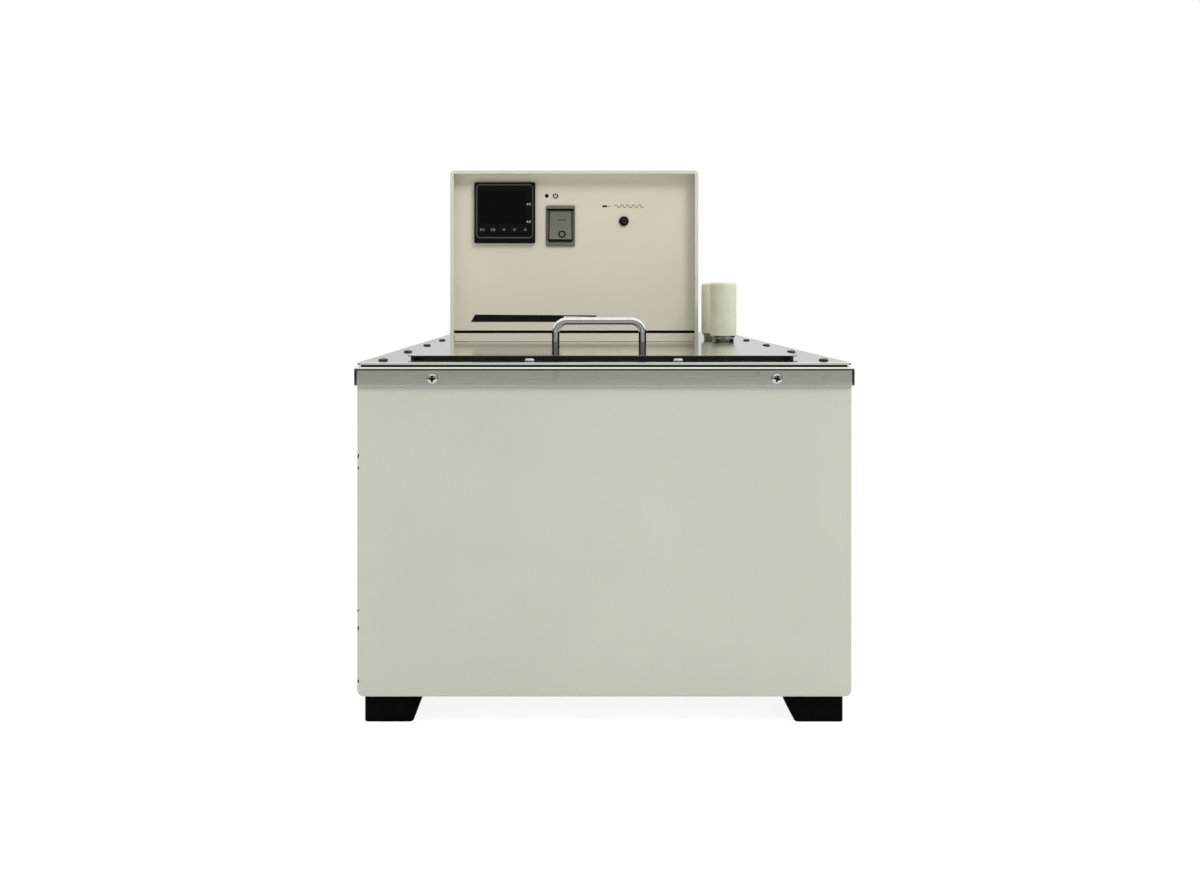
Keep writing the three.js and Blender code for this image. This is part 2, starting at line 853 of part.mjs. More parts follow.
// Places on the panel, measured from the head's left side and top, as X and Y on the drawn panel.
function onPanel(fromLeft, fromTop) {
  return [fromLeft - panelLeftInset - baseWidth / 2, panelHeight - (fromTop - panelTopInset)];
}

const switchBodyWidth = switchPocketWidth + 2 * switchWall;
const switchBodyHeight = switchPocketHeight + 2 * switchWall;

function headFrontPanel() {
  const [controllerX, controllerUp] = onPanel(controllerFromLeft, controllerFromTop);
  const [switchX, switchUp] = onPanel(switchFromLeft, switchFromTop);
  const [lampX, lampUp] = onPanel(lampFromLeft, lampFromTop);
  const deep = -headSheet - overrun;
  const controllerHole = controllerBody + 2 * slipGap;
  return cut(
    headPanel(),
    block(controllerHole, controllerHole, deep, overrun).translate(controllerX, controllerUp, 0),
    block(switchBodyWidth + 2 * slipGap, switchBodyHeight + 2 * slipGap, deep, overrun)
      .translate(switchX, switchUp, 0),
    bar(lampSleeve + runningGap, deep, overrun, smallSides).translate(lampX, lampUp, 0),
  );
}

// Rear panel, drawn the same way: two columns of vent slots over the motor and a hole for the cord gland.
function headRearPanel() {
  const slots = [];
  for (let column = 0; column < ventColumns; column += 1) {
    for (let row = 0; row < ventRows; row += 1) {
      slots.push(block(ventLength, ventHeight, -headSheet - overrun, overrun).translate(
        (column - (ventColumns - 1) / 2) * ventSpacing,
        panelHeight / 2 + ventRise + (row - (ventRows - 1) / 2) * ventPitch,
        0,
      ));
    }
  }
  const glandHole = bar(glandNeck + runningGap, -headSheet - overrun, overrun)
    .translate(glandFromLeft - baseWidth / 2, glandRise, 0);
  return cut(headPanel(), ...slots, glandHole);
}

// Tray under the head: its front flange closes the foot of the front panel.
function headBase() {
  const holes = [
    bar(columnRadius + slipGap, -overrun, baseSheet + overrun),
    ...[-1, 1].map((side) => bar(heaterRadius + slipGap, -overrun, baseSheet + overrun, smallSides)
      .translate(side * heaterSpread / 2, -heaterAhead, 0)),
    bar(probeRadius + slipGap, -overrun, baseSheet + overrun, smallSides)
      .translate(sensorSpread, sensorBehind, 0),
    bar(stemRadius + slipGap, -overrun, baseSheet + overrun, smallSides)
      .translate(-sensorSpread, sensorBehind, 0),
  ];
  return cut(
    slab(baseWidth, baseDepth, baseSheet, 0, baseFlange),
    slab(baseWidth - 2 * baseSheet, baseDepth - 2 * baseSheet, baseSheet, baseSheet, baseFlange + overrun),
    ...holes,
  );
}

const keyFace = controllerProud - faceRecess; // recessed face of the bezel
const keyPocket = keyFace - keyWall; // depth of the hollow behind the keys

// Bezel of the controller: a chamfered frame whose rim slopes down to a recessed face, with the window's pocket
// and the key holes.
function controllerBezel() {
  const floor = { width: faceRecessWidth, depth: faceRecessHeight, corner: faceRecessCorner };
  const mouth = {
    width: faceRecessWidth + 2 * faceRecessSlope,
    depth: faceRecessHeight + 2 * faceRecessSlope,
    corner: faceRecessCorner + faceRecessSlope,
  };
  const recess = loft([
    { ...floor, z: keyFace }, { ...mouth, z: controllerProud }, { ...mouth, z: controllerProud + overrun },
  ]).translate(0, faceRecessRise, 0);
  const windowPocket = slab(windowWidth, windowHeight, windowCorner, keyFace - windowThickness - sheetGap,
    controllerProud).translate(windowShift, windowRise, 0);
  const keyRow = block(keyNames.length * keyPitch, keyHeight + 2 * (keyRim + slipGap), -overrun, keyPocket)
    .translate(keyShift, -keyDrop, 0);
  const keyHoles = keyNames.map((_, i) => slab(keyWidth + 2 * runningGap, keyHeight + 2 * runningGap,
    keyCorner, 0, controllerProud).translate(keyPlace(i), -keyDrop, 0));
  return cut(
    chamferedSlab(controllerFace, controllerFace, controllerCorner, 0, controllerProud, controllerChamfer),
    recess, windowPocket, keyRow, ...keyHoles,
  );
}

function keyPlace(i) {
  return keyShift + (i - (keyNames.length - 1) / 2) * keyPitch;
}

// A key: a rounded button held by a rim behind the bezel's wall.
function controllerKey() {
  const rimTop = keyPocket - sheetGap;
  return join(
    slab(keyWidth + 2 * keyRim, keyHeight + 2 * keyRim, keyCorner, rimTop - keyRimThickness, rimTop),
    chamferedSlab(keyWidth, keyHeight, keyCorner, rimTop - keyRimThickness / 2, keyFace + keyProud, keyProud / 2),
  );
}

// Case of the controller behind the panel, with a stepped terminal block at its rear.
function controllerCase() {
  const rear = controllerBody - 2 * controllerTerminalInset;
  return join(
    slab(controllerBody, controllerBody, controllerCorner, -controllerDepth + controllerTerminals, -sheetGap),
    slab(rear, controllerBody, controllerCorner, -controllerDepth, -controllerDepth + controllerTerminals
      + sheetGap),
  );
}

function switchHousing() {
  const blades = Array.from({ length: bladeCount }, (_, i) => block(bladeWidth, bladeThickness,
    -switchBodyDepth - bladeLength, -switchBodyDepth + sheetGap)
    .translate(0, (i - (bladeCount - 1) / 2) * bladePitch, 0));
  const sockets = bar(pivotRadius + runningGap, -(switchPocketWidth / 2 + pivotReach + runningGap),
    switchPocketWidth / 2 + pivotReach + runningGap, smallSides)
    .rotateY(quarterTurn).translate(0, 0, -pivotDepth);
  return cut(
    join(
      chamferedSlab(switchWidth, switchHeight, switchCorner, sheetGap, switchProud, switchChamfer),
      slab(switchBodyWidth, switchBodyHeight, switchCorner, -switchBodyDepth, switchProud / 2),
      ...blades,
    ),
    block(switchPocketWidth, switchPocketHeight, -switchPocketDepth, switchProud + overrun),
    sockets,
  );
}

// Rocker: two faces that meet in a shallow valley over a hub with a pivot pin at each side.
// Its origin is the pivot, and the drawn rocker is level.
function switchRocker() {
  const half = rockerHeight / 2;
  const waist = pivotDepth + rockerWaist;
  const crest = waist + half * Math.tan(rockerTilt);
  const profile = new THREE.Shape([
    new THREE.Vector2(0, waist),
    new THREE.Vector2(-half, crest),
    new THREE.Vector2(-half, crest - rockerEdge),
    new THREE.Vector2(-rockerHub, -rockerDrop / 2),
    new THREE.Vector2(-rockerHub / 2, -rockerDrop),
    new THREE.Vector2(rockerHub / 2, -rockerDrop),
    new THREE.Vector2(rockerHub, -rockerDrop / 2),
    new THREE.Vector2(half, crest - rockerEdge),
    new THREE.Vector2(half, crest),
  ]);
  const body = new THREE.ExtrudeGeometry(profile, { depth: rockerWidth, bevelEnabled: false })
    .translate(0, 0, -rockerWidth / 2)
    .rotateY(quarterTurn)
    .rotateX(quarterTurn)
    .rotateZ(2 * quarterTurn);
  const pin = bar(pivotRadius, -(switchPocketWidth / 2 + pivotReach), switchPocketWidth / 2 + pivotReach,
    smallSides).rotateY(quarterTurn);
  return join(body, pin);
}

function lampBezel() {
  return turned([
    [lampBore, -lampDepth], [lampSleeve, -lampDepth], [lampSleeve, sheetGap], [lampRadius, sheetGap],
    [lampRadius, lampProud - lampEdge], [lampRadius - lampEdge, lampProud], [lampBore, lampProud],
    [lampBore, -lampDepth],
  ]);
}

function lampLens() {
  const radius = lampBore - runningGap;
  const profile = [[0, -lensTail], [radius, -lensTail], [radius, lampProud]];
  for (let step = 1; step < bendSteps; step += 1) {
    const angle = (step / bendSteps) * quarterTurn;
    profile.push([radius * Math.cos(angle), lampProud + lensDome * Math.sin(angle)]);
  }
  profile.push([0, lampProud + lensDome]);
  return turned(profile, smallSides);
}

function cordGland() {
  return turned([
    [glandBore, -glandTail], [glandNeck, -glandTail], [glandNeck, sheetGap], [glandRadius, sheetGap],
    [glandRadius, glandFlange], [glandNose, glandReach], [glandBore, glandReach], [glandBore, -glandTail],
  ]);
}

// Pump motor: end bells, a ribbed middle and a bearing boss on top, bored for the shaft.
function pumpMotor() {
  const shoulder = motorHeight - motorBossHeight - motorShoulder;
  const body = turned([
    [0, 0], [motorFoot, 0], [motorRadius, motorFootHeight], [motorRadius, shoulder],
    [motorRadius - motorShoulder, motorHeight - motorBossHeight], [motorBoss, motorHeight - motorBossHeight],
    [motorBoss, motorHeight], [0, motorHeight],
  ]);
  const ribs = Array.from({ length: ribCount }, (_, i) => block(2 * ribProud, ribWidth, 2 * motorFootHeight,
    shoulder - motorFootHeight).translate(motorRadius, 0, 0).rotateZ((i * 4 * quarterTurn) / ribCount));
  return cut(join(body, ...ribs), bar(shaftRadius + runningGap, -overrun, motorHeight + overrun, smallSides));
}

function motorMount() {
  const at = mountSize / 2 - mountLegInset;
  const legs = [[-1, -1], [1, -1], [1, 1], [-1, 1]].map(([sx, sy]) => bar(mountLeg, 0,
    mountHeight - mountPlate / 2, smallSides).translate(sx * at, sy * at, 0));
  return cut(
    join(slab(mountSize, mountSize, mountCorner, mountHeight - mountPlate, mountHeight), ...legs),
    bar(mountHole, 0, mountHeight + overrun),
  );
}

// Cooling fan: a hub with pitched blades.
function motorFan() {
  const blades = Array.from({ length: fanBlades }, (_, i) => block(fanRadius - fanHub + fanBladeThickness,
    fanHubHeight, -fanBladeThickness / 2, fanBladeThickness / 2)
    .rotateX(fanBladePitch)
    .translate((fanRadius + fanHub - fanBladeThickness) / 2, 0, fanHubHeight / 2)
    .rotateZ((i * 4 * quarterTurn) / fanBlades));
  return cut(
    join(bar(fanHub, 0, fanHubHeight), ...blades),
    bar(shaftRadius + sheetGap, -overrun, fanHubHeight + overrun, smallSides),
  );
}

// Column that carries the pump under the head; water drains back through two ports near its foot.
function pumpColumn() {
  const top = columnFlangeThickness;
  const tube = turned([
    [columnBore, top - columnLength], [columnRadius, top - columnLength], [columnRadius, 0], [columnFlange, 0],
    [columnFlange, top], [columnBore, top], [columnBore, top - columnLength],
  ]);
  return cut(tube, barAlongY(columnPort, -columnRadius - overrun, columnRadius + overrun, smallSides)
    .translate(0, 0, top - columnLength + columnPortRise));
}

// Outline of the volute: a spiral that widens towards the outlet.
function volutePoints(start) {
  return Array.from({ length: voluteSteps }, (_, i) => {
    const share = i / (voluteSteps - 1);
    const angle = share * 4 * quarterTurn * (voluteSteps - 1) / voluteSteps;
    const radius = start + voluteGrowth * share;
    return new THREE.Vector2(radius * Math.cos(angle), radius * Math.sin(angle));
  });
}

function volute(start, low, high) {
  return new THREE.ExtrudeGeometry(new THREE.Shape(volutePoints(start)), {
    depth: high - low,
    bevelEnabled: false,
  }).translate(0, 0, low);
}

// Pump housing: the spiral casing open below, its outlet leaving tangentially, and a hole for the shaft.
// The outlet leaves along +Y before the housing is turned to its place.
function pumpHousing() {
  const outer = voluteStart + voluteWall;
  const outletX = outer + voluteGrowth - pumpOutlet;
  const middle = -voluteTop - voluteHeight / 2;
  const outlet = barAlongY(pumpOutlet, 0, pumpOutletReach).translate(outletX, 0, middle);
  const outletBore = barAlongY(pumpOutletBore, 0, pumpOutletReach + overrun).translate(outletX, 0, middle);
  return cut(
    join(volute(outer, -voluteTop - voluteHeight, 0), outlet),
    volute(voluteStart, -voluteTop - voluteHeight - overrun, -voluteTop),
    outletBore,
    bar(columnBore, -voluteTop - overrun, overrun, smallSides),
  ).rotateZ(-quarterTurn);
}

// Cover under the pump housing: an eye that feeds the impeller and a ring of strainer holes.
function intakeCover() {
  const holes = Array.from({ length: strainerHoles }, (_, i) => bar(strainerHole, -overrun,
    coverThickness + overrun, smallSides / 2).translate(strainerRing, 0, 0)
    .rotateZ((i * 4 * quarterTurn) / strainerHoles));
  return cut(
    volute(voluteStart + voluteWall, 0, coverThickness),
    bar(coverEye, -overrun, coverThickness + overrun),
    ...holes,
  ).rotateZ(-quarterTurn);
}

// One impeller vane: a strip that sweeps back from the hub to the rim.
function impellerVane() {
  const inner = [];
  const outer = [];
  for (let step = 0; step <= vaneSteps; step += 1) {
    const share = step / vaneSteps;
    const radius = impellerHub - vaneThickness / 2 + (impellerRadius - impellerHub) * share;
    const angle = -vaneSweep * share * share;
    const thin = vaneThickness / radius / 2;
    inner.push(new THREE.Vector2(radius * Math.cos(angle - thin), radius * Math.sin(angle - thin)));
    outer.push(new THREE.Vector2(radius * Math.cos(angle + thin), radius * Math.sin(angle + thin)));
  }
  return new THREE.ExtrudeGeometry(new THREE.Shape([...inner, ...outer.reverse()]), {
    depth: impellerHeight - impellerPlate / 2,
    bevelEnabled: false,
  });
}

// Impeller: a back plate on top, a hub and swept vanes that hang under the plate.
function impeller() {
  const vanes = Array.from({ length: vaneCount }, (_, i) => impellerVane()
    .rotateZ((i * 4 * quarterTurn) / vaneCount));
  return cut(
    join(
      bar(impellerRadius, impellerHeight - impellerPlate, impellerHeight, 2 * smallSides),
      bar(impellerHub, 0, impellerHeight),
      ...vanes,
    ),
    bar(shaftRadius + sheetGap, -overrun, impellerHeight + overrun, smallSides),
  );
}

// Hose nozzle: thread and collar at the deck, then barbs up to its mouth, bored right through.
function hoseNozzle() {
  const profile = [
    [nozzleBore, -nozzleThreadLength], [nozzleThread, -nozzleThreadLength], [nozzleThread, sheetGap],
    [neckRadius, sheetGap], [neckRadius, neckHeight - 2 * neckFlangeHeight],
    [neckFlange, neckHeight - neckFlangeHeight], [neckFlange, neckHeight], [barbWaist, neckHeight],
  ];
  for (let barb = 0; barb < barbCount; barb += 1) {
    const from = neckHeight + neckFlangeHeight + barb * barbPitch;
    profile.push([barbWaist, from], [barbRadius, from + neckFlangeHeight], [barbWaist, from + barbRamp]);
  }
  const mouth = neckHeight + neckFlangeHeight + barbCount * barbPitch;
  profile.push([barbWaist, mouth], [nozzleBore, mouth], [nozzleBore, -nozzleThreadLength]);
  return turned(profile, smallSides);
}

// Push-on cap: a plain sleeve with a closed, rounded top.
function nozzleCap() {
  const profile = [[0, capHeight - capTop], [capBore, capHeight - capTop], [capBore, 0], [capRadius, 0]];
  for (let step = 0; step <= bendSteps; step += 1) {
    const angle = (step / bendSteps) * quarterTurn;
    profile.push([
      capRadius - capEdge + capEdge * Math.cos(angle), capHeight - capEdge + capEdge * Math.sin(angle),
    ]);
  }
  profile.push([0, capHeight]);
  return turned(profile);
}

// Heater: one sheathed rod bent into a loop round the pump, with a fitting brazed on each leg.
function heaterLoop(bottom) {
  const side = heaterSpread / 2;
  const path = new BentPath([
    [-side, -heaterAhead, heaterTop], [-side, -heaterAhead, bottom], [-side, heaterBehind, bottom],
    [side, heaterBehind, bottom], [side, -heaterAhead, bottom], [side, -heaterAhead, heaterTop],
  ], heaterBend);
  const fittings = [-1, 1].map((end) => new THREE.CylinderGeometry(fittingRadius, fittingRadius, fittingHeight, 6)
    .rotateX(quarterTurn).translate(end * side, -heaterAhead, fittingHeight / 2));
  return join(swept(path, heaterRadius, 0, heaterSides), ...fittings);
}

function temperatureProbe() {
  return turned([
    [0, -probeLength], [probeRadius, -probeLength + probeRadius], [probeRadius, 0], [fittingRadius, 0],
    [fittingRadius, fittingHeight], [probeRadius, fittingHeight], [probeRadius, probeTop], [0, probeTop],
  ], smallSides);
}

// Float stem with a stop below the float.
function floatStem() {
  return turned([
    [0, -stemLength], [stopRadius, -stemLength], [stopRadius, -stemLength + stopHeight],
    [stemRadius, -stemLength + stopHeight], [stemRadius, 0], [fittingRadius, 0],
    [fittingRadius, fittingHeight], [stemRadius, fittingHeight], [stemRadius, probeTop], [0, probeTop],
  ], smallSides);
}

function levelFloat() {
  const bore = stemRadius + slipGap;
  return turned([
    [bore, 0], [floatRadius - floatEdge, 0], [floatRadius, floatEdge], [floatRadius, floatHeight - floatEdge],
    [floatRadius - floatEdge, floatHeight], [bore, floatHeight], [bore, 0],
  ]);
}

// Solid state relay on its own finned heat sink.
function relay() {
  const fins = Array.from({ length: sinkFins }, (_, i) => block(sinkFin, relayDepth, 0, sinkHeight)
    .translate((i / (sinkFins - 1) - 1 / 2) * (relayWidth - sinkFin), 0, 0));
  return join(
    slab(relayWidth, relayDepth, relayCorner, sinkHeight - relayCorner, sinkHeight + relayHeight),
    ...fins,
  );
}

function terminalBlock() {
  const ways = Array.from({ length: terminalWays }, (_, i) => block(terminalPitch - terminalWall, terminalSlot,
    terminalHeight - terminalSlot, terminalHeight + overrun)
    .translate((i - (terminalWays - 1) / 2) * terminalPitch, -terminalDepth / 2 + terminalSlot / 2, 0));
  return cut(block(terminalLength, terminalDepth, 0, terminalHeight), ...ways);
}

// Tank outlet: a flanged sleeve from inside the tank out through the case's rear; its axis is along Y.
function tankOutlet() {
  const end = caseDepth / 2 + outletReach;
  return cut(
    join(
      barAlongY(outletFlange, outletStart - sheetGap - outletFlangeThickness, outletStart - sheetGap),
      barAlongY(outletRadius, outletStart - outletFlangeThickness, end),
    ),
    barAlongY(outletBore, outletStart - outletFlangeThickness - overrun, end + overrun, smallSides),
  );
}

// Drain cock: hexagon and barrel along Y, an upright housing for the plug and a spout that points down.
// Y 0 is the hexagon's face, Z 0 the barrel's axis.
function drainCock() {
  const spoutY = plugSpacing + spoutSpacing;
  const hexagon = new THREE.CylinderGeometry(cockHexAcross / 2, cockHexAcross / 2, cockHexLength, 6)
    .translate(0, cockHexLength / 2, 0);
  return cut(
    join(
      hexagon,
      barAlongY(cockBarrel, cockHexLength - sheetGap, spoutY),
      bar(plugHousing, -plugHousingHeight, plugHousingHeight).translate(0, plugSpacing, 0),
      turned([
        [0, -spoutDrop], [spoutBead, -spoutDrop], [spoutBead, spoutBeadHeight - spoutDrop],
        [spoutRadius, spoutBeadHeight - spoutDrop + sheetGap], [spoutRadius, spoutRadius], [0, cockBarrel],
      ]).translate(0, spoutY, 0),
    ),
    barAlongY(plugBore, -overrun, spoutY, smallSides),
    bar(spoutBore, -spoutDrop - overrun, 0, smallSides).translate(0, spoutY, 0),
    bar(plugRadius + runningGap, plugHousingHeight - plugDepth - runningGap, plugHousingHeight + overrun)
      .translate(0, plugSpacing, 0),
  );
}

// Plug of the cock with its lever; shut, the cross hole and the lever lie along X, across the flow.
function cockPlug() {
  const seat = plugHousingHeight + restGap;
  const lever = slab(leverReach + leverWidth, leverWidth, leverWidth / 2 - sheetGap, seat, seat + leverThickness)
    .translate(leverReach / 2, 0, 0);
  return cut(
    join(
      bar(plugRadius, plugHousingHeight - plugDepth, seat + leverThickness / 2),
      bar(plugHub, seat, seat + plugHubHeight),
      lever,
    ),
    barAlongY(plugBore, -plugRadius - overrun, plugRadius + overrun, smallSides).rotateZ(quarterTurn),
  );
}

// The whole bath; the drain cock stands out behind it, so the body is moved forward by half of that.
const cockFace = caseDepth / 2 + outletReach + slipGap;
const rearmost = cockFace + plugSpacing + spoutSpacing + spoutBead;
const bath = new THREE.Group();
const body = groupAt(bath, 0, -(rearmost - trimDepth / 2) / 2, 0);

// Case on its four feet
add(body, 'case_wrap', caseWrap(), creamPaint, 0, 0, caseBottom);
const frontEnd = facingFront(caseEnd());
add(body, 'front_panel', frontEnd, creamPaint, 0, -caseDepth / 2 + caseSheet, caseBottom);
const rearEnd = facingFront(cut(
  caseEnd(),
  bar(outletRadius + slipGap, -caseFlange, caseSheet + overrun)
    .translate(-drainFromCentre, tankFloor - caseBottom + outletHeight, 0),
)).rotateZ(2 * quarterTurn);
add(body, 'rear_panel', rearEnd, creamPaint, 0, caseDepth / 2 - caseSheet, caseBottom);
const footX = caseWidth / 2 - footInset - footSize / 2;
const footY = caseDepth / 2 - footSetback - footSize / 2;
[
  ['foot_front_left', -footX, -footY], ['foot_front_right', footX, -footY],
  ['foot_rear_right', footX, footY], ['foot_rear_left', -footX, footY],
].forEach(([name, x, y], quarter) => {
  add(body, name, foot(), blackRubber, x, y, 0).rotation.z = quarter * quarterTurn;
});

// Tank, trim and deck
add(body, 'insulation_jacket', insulationJacket(), foam, 0, 0, tankFloor);
add(body, 'inner_tank', innerTank(), stainless, 0, 0, tankFloor);
add(body, 'trim_frame', trimFrame(), polished, 0, 0, trimTop - trimSkirt);
add(body, 'deck_gasket', gasket(), blackRubber, 0, 0, gasketTop - gasketThickness);
add(body, 'deck_plate', deckPlate(), polished, 0, 0, deckTop - deckSheet);

// Lid
const lidGroup = groupAt(body, 0, lidY, deckTop + restGap);
add(lidGroup, 'lid', lid(), polished);
add(lidGroup, 'lid_seal', lidSeal(), blackRubber);
add(lidGroup, 'lid_handle', lidHandle(), polished, 0, 0, lidRise + sheetGap);
['handle_nut_left', 'handle_nut_right'].forEach((name, i) => {
  add(lidGroup, name, hexNut(nutAcrossCorners, nutThickness, studRadius + sheetGap), stainless,
    (i - 1 / 2) * handleSpan, 0, lidRise - lidSheet - sheetGap - nutThickness);
});

// Control head
add(body, 'head_base', headBase(), creamPaint, headX, baseY, headBottom);
add(body, 'head_cover', headCover(), creamPaint, headX, headY, headBottom);
const panel = groupAt(body, headX, panelY, panelBottom);
add(panel, 'head_front_panel', facingFront(headFrontPanel()), creamPaint);
const rearPanel = facingFront(headRearPanel()).rotateZ(2 * quarterTurn);
add(body, 'head_rear_panel', rearPanel, creamPaint, headX, rearPanelY, panelBottom);
add(body, 'cord_gland', facingFront(cordGland()).rotateZ(2 * quarterTurn), blackPlastic,
  headX - (glandFromLeft - baseWidth / 2), rearPanelY, panelBottom + glandRise);

// Controller
const [controllerX, controllerUp] = onPanel(controllerFromLeft, controllerFromTop);
const controller = groupAt(panel, controllerX, 0, controllerUp);
add(controller, 'controller_case', facingFront(controllerCase()), blackPlastic);
add(controller, 'controller_bezel', facingFront(controllerBezel()), blackPlastic, 0, -sheetGap, 0);
const windowPlate = slab(windowWidth - 2 * sheetGap, windowHeight - 2 * sheetGap, windowCorner,
  keyFace - windowThickness, keyFace);
add(controller, 'display_window', facingFront(windowPlate), smokedWindow, windowShift, -sheetGap, windowRise);
keyNames.forEach((name, i) => {
  add(controller, name, facingFront(controllerKey()), blackPlastic, keyPlace(i), -sheetGap, -keyDrop);
});

// Rocker switch, resting with its upper half pressed in
const [switchX, switchUp] = onPanel(switchFromLeft, switchFromTop);
const powerSwitch = groupAt(panel, switchX, 0, switchUp);
add(powerSwitch, 'switch_housing', facingFront(switchHousing()), greyPlastic);
add(powerSwitch, 'switch_rocker', facingFront(switchRocker()), greyPlastic, 0, pivotDepth, 0)
  .rotation.x = -rockerTilt;

// Water level lamp
const [lampX, lampUp] = onPanel(lampFromLeft, lampFromTop);
const lamp = groupAt(panel, lampX, 0, lampUp);
add(lamp, 'lamp_bezel', facingFront(lampBezel()), blackPlastic);
add(lamp, 'lamp_lens', facingFront(lampLens()), redLens);

// Pump, hung from the head's base
const pump = groupAt(body, headX, baseY, baseTop + sheetGap);
const motorSeat = mountHeight + sheetGap;
const fanSeat = motorSeat + motorHeight + fanGap;
const housingSeat = columnFlangeThickness - columnLength - sheetGap;
const impellerSeat = housingSeat - voluteTop - (voluteHeight + impellerHeight) / 2;
const shaftTop = fanSeat + fanHubHeight;
add(pump, 'motor_mount', motorMount(), stainless);
add(pump, 'pump_motor', pumpMotor(), castGrey, 0, 0, motorSeat);
add(pump, 'pump_shaft', bar(shaftRadius, impellerSeat, shaftTop, smallSides), stainless);
add(pump, 'motor_fan', motorFan(), blackPlastic, 0, 0, fanSeat);
add(pump, 'pump_column', pumpColumn(), stainless);
add(pump, 'pump_housing', pumpHousing(), stainless, 0, 0, housingSeat);
add(pump, 'pump_impeller', impeller(), blackPlastic, 0, 0, impellerSeat);
add(pump, 'pump_intake_cover', intakeCover(), stainless, 0, 0,
  housingSeat - voluteTop - voluteHeight - sheetGap - coverThickness);

// Heater, probe and float, hung from the base beside the pump
const heaterLevel = tankFloor + heaterAboveFloor - baseTop - sheetGap;
add(pump, 'heater_loop', heaterLoop(heaterLevel), stainless);
add(pump, 'temperature_probe', temperatureProbe(), stainless, sensorSpread, sensorBehind, 0);
add(pump, 'float_stem', floatStem(), stainless, -sensorSpread, sensorBehind, 0);
add(pump, 'level_float', levelFloat(), whitePlastic, -sensorSpread, sensorBehind,
  -stemLength + stopHeight + restGap);

// Relay and terminals on the base, clear of the motor and of the rear panel's flange
const rearRoom = baseDepth / 2 - panelFlange;
add(pump, 'solid_state_relay', relay(), blackPlastic,
  sideRoom - relayInset - relayWidth / 2, rearRoom - relayInset - relayDepth / 2, 0);
add(pump, 'terminal_block', terminalBlock(), whitePlastic,
  terminalInset + terminalDepth / 2 - sideRoom, rearRoom - terminalInset - terminalLength / 2, 0)
  .rotation.z = quarterTurn;

// Nozzles, their nuts and caps
[['front', 0], ['rear', nozzleSpacing]].forEach(([place, step]) => {
  const nozzle = groupAt(body, nozzleX, frontNozzleY + step, deckTop);
  add(nozzle, `hose_nozzle_${place}`, hoseNozzle(), polished);
  add(nozzle, `nozzle_nut_${place}`, hexNut(nozzleNutAcross, nozzleNutThickness, nozzleThread + runningGap),
    brass, 0, 0, -deckSheet - sheetGap - nozzleNutThickness);
  add(nozzle, `nozzle_cap_${place}`, nozzleCap(), capPlastic, 0, 0, neckHeight + restGap);
});

// Pipes from the pump to the front nozzle and from the rear nozzle back into the tank
const pipeTop = deckTop - nozzleThreadLength - slipGap;
const outletX = headX + pumpOutletReach + slipGap;
const outletY = baseY - (voluteStart + voluteWall + voluteGrowth - pumpOutlet);
const dischargePath = new BentPath([
  [outletX, outletY, pumpMiddle], [nozzleX, outletY, pumpMiddle], [nozzleX, frontNozzleY, pumpMiddle],
  [nozzleX, frontNozzleY, pipeTop],
], pipeBend);
add(body, 'discharge_pipe', swept(dischargePath, pipeRadius, pipeRadius - pipeWall, pipeSides), stainless);
const returnPath = new BentPath([[0, 0, -returnLength], [0, 0, 0]], pipeBend);
add(body, 'return_pipe', swept(returnPath, pipeRadius, pipeRadius - pipeWall, pipeSides), stainless,
  nozzleX, frontNozzleY + nozzleSpacing, pipeTop);

// Drain at the rear
const drain = groupAt(body, drainFromCentre, 0, tankFloor + outletHeight);
add(drain, 'tank_outlet', tankOutlet(), stainless);
const cock = groupAt(drain, 0, cockFace, 0);
add(cock, 'drain_cock', drainCock(), brass);
add(cock, 'drain_plug', cockPlug(), brass, 0, plugSpacing, 0);

export default bath;
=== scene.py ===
"""Looks of the circulating water bath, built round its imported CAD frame. Lengths are metres."""

import bmesh
import bpy
import json
import math
from mathutils import Matrix, Vector
from mathutils.bvhtree import BVHTree

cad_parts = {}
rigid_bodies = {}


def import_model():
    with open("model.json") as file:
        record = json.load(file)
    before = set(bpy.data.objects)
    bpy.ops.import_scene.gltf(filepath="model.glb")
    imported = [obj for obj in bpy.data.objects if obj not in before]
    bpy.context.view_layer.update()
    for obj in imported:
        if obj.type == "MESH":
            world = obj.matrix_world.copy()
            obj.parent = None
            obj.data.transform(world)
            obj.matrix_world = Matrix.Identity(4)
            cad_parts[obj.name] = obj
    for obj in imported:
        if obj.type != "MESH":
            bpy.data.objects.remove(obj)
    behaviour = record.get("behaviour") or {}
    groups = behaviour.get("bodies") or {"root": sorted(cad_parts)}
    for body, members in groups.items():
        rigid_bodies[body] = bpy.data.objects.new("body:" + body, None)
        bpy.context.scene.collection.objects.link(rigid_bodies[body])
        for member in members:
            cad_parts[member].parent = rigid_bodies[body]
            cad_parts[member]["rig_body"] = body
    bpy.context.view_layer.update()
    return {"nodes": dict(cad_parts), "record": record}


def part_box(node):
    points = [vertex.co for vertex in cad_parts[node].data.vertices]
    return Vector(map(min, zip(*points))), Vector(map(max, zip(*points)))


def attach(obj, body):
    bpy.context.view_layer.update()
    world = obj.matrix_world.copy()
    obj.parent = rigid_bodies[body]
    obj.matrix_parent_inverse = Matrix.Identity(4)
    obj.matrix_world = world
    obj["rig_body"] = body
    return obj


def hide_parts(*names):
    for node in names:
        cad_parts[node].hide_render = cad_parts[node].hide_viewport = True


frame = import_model()

MM = 0.001
QUARTER = math.pi / 2
MERGE = 0.002 * MM
PRINT_LIFT = 0.03 * MM  # how far a printed mark stands off its surface
SHARP = math.radians(38)  # edges steeper than this stay crisp or get a bevel
FLAT = math.radians(0.4)  # faces that turn by less than this are one flat area
SAME_PLANE = 0.02 * MM

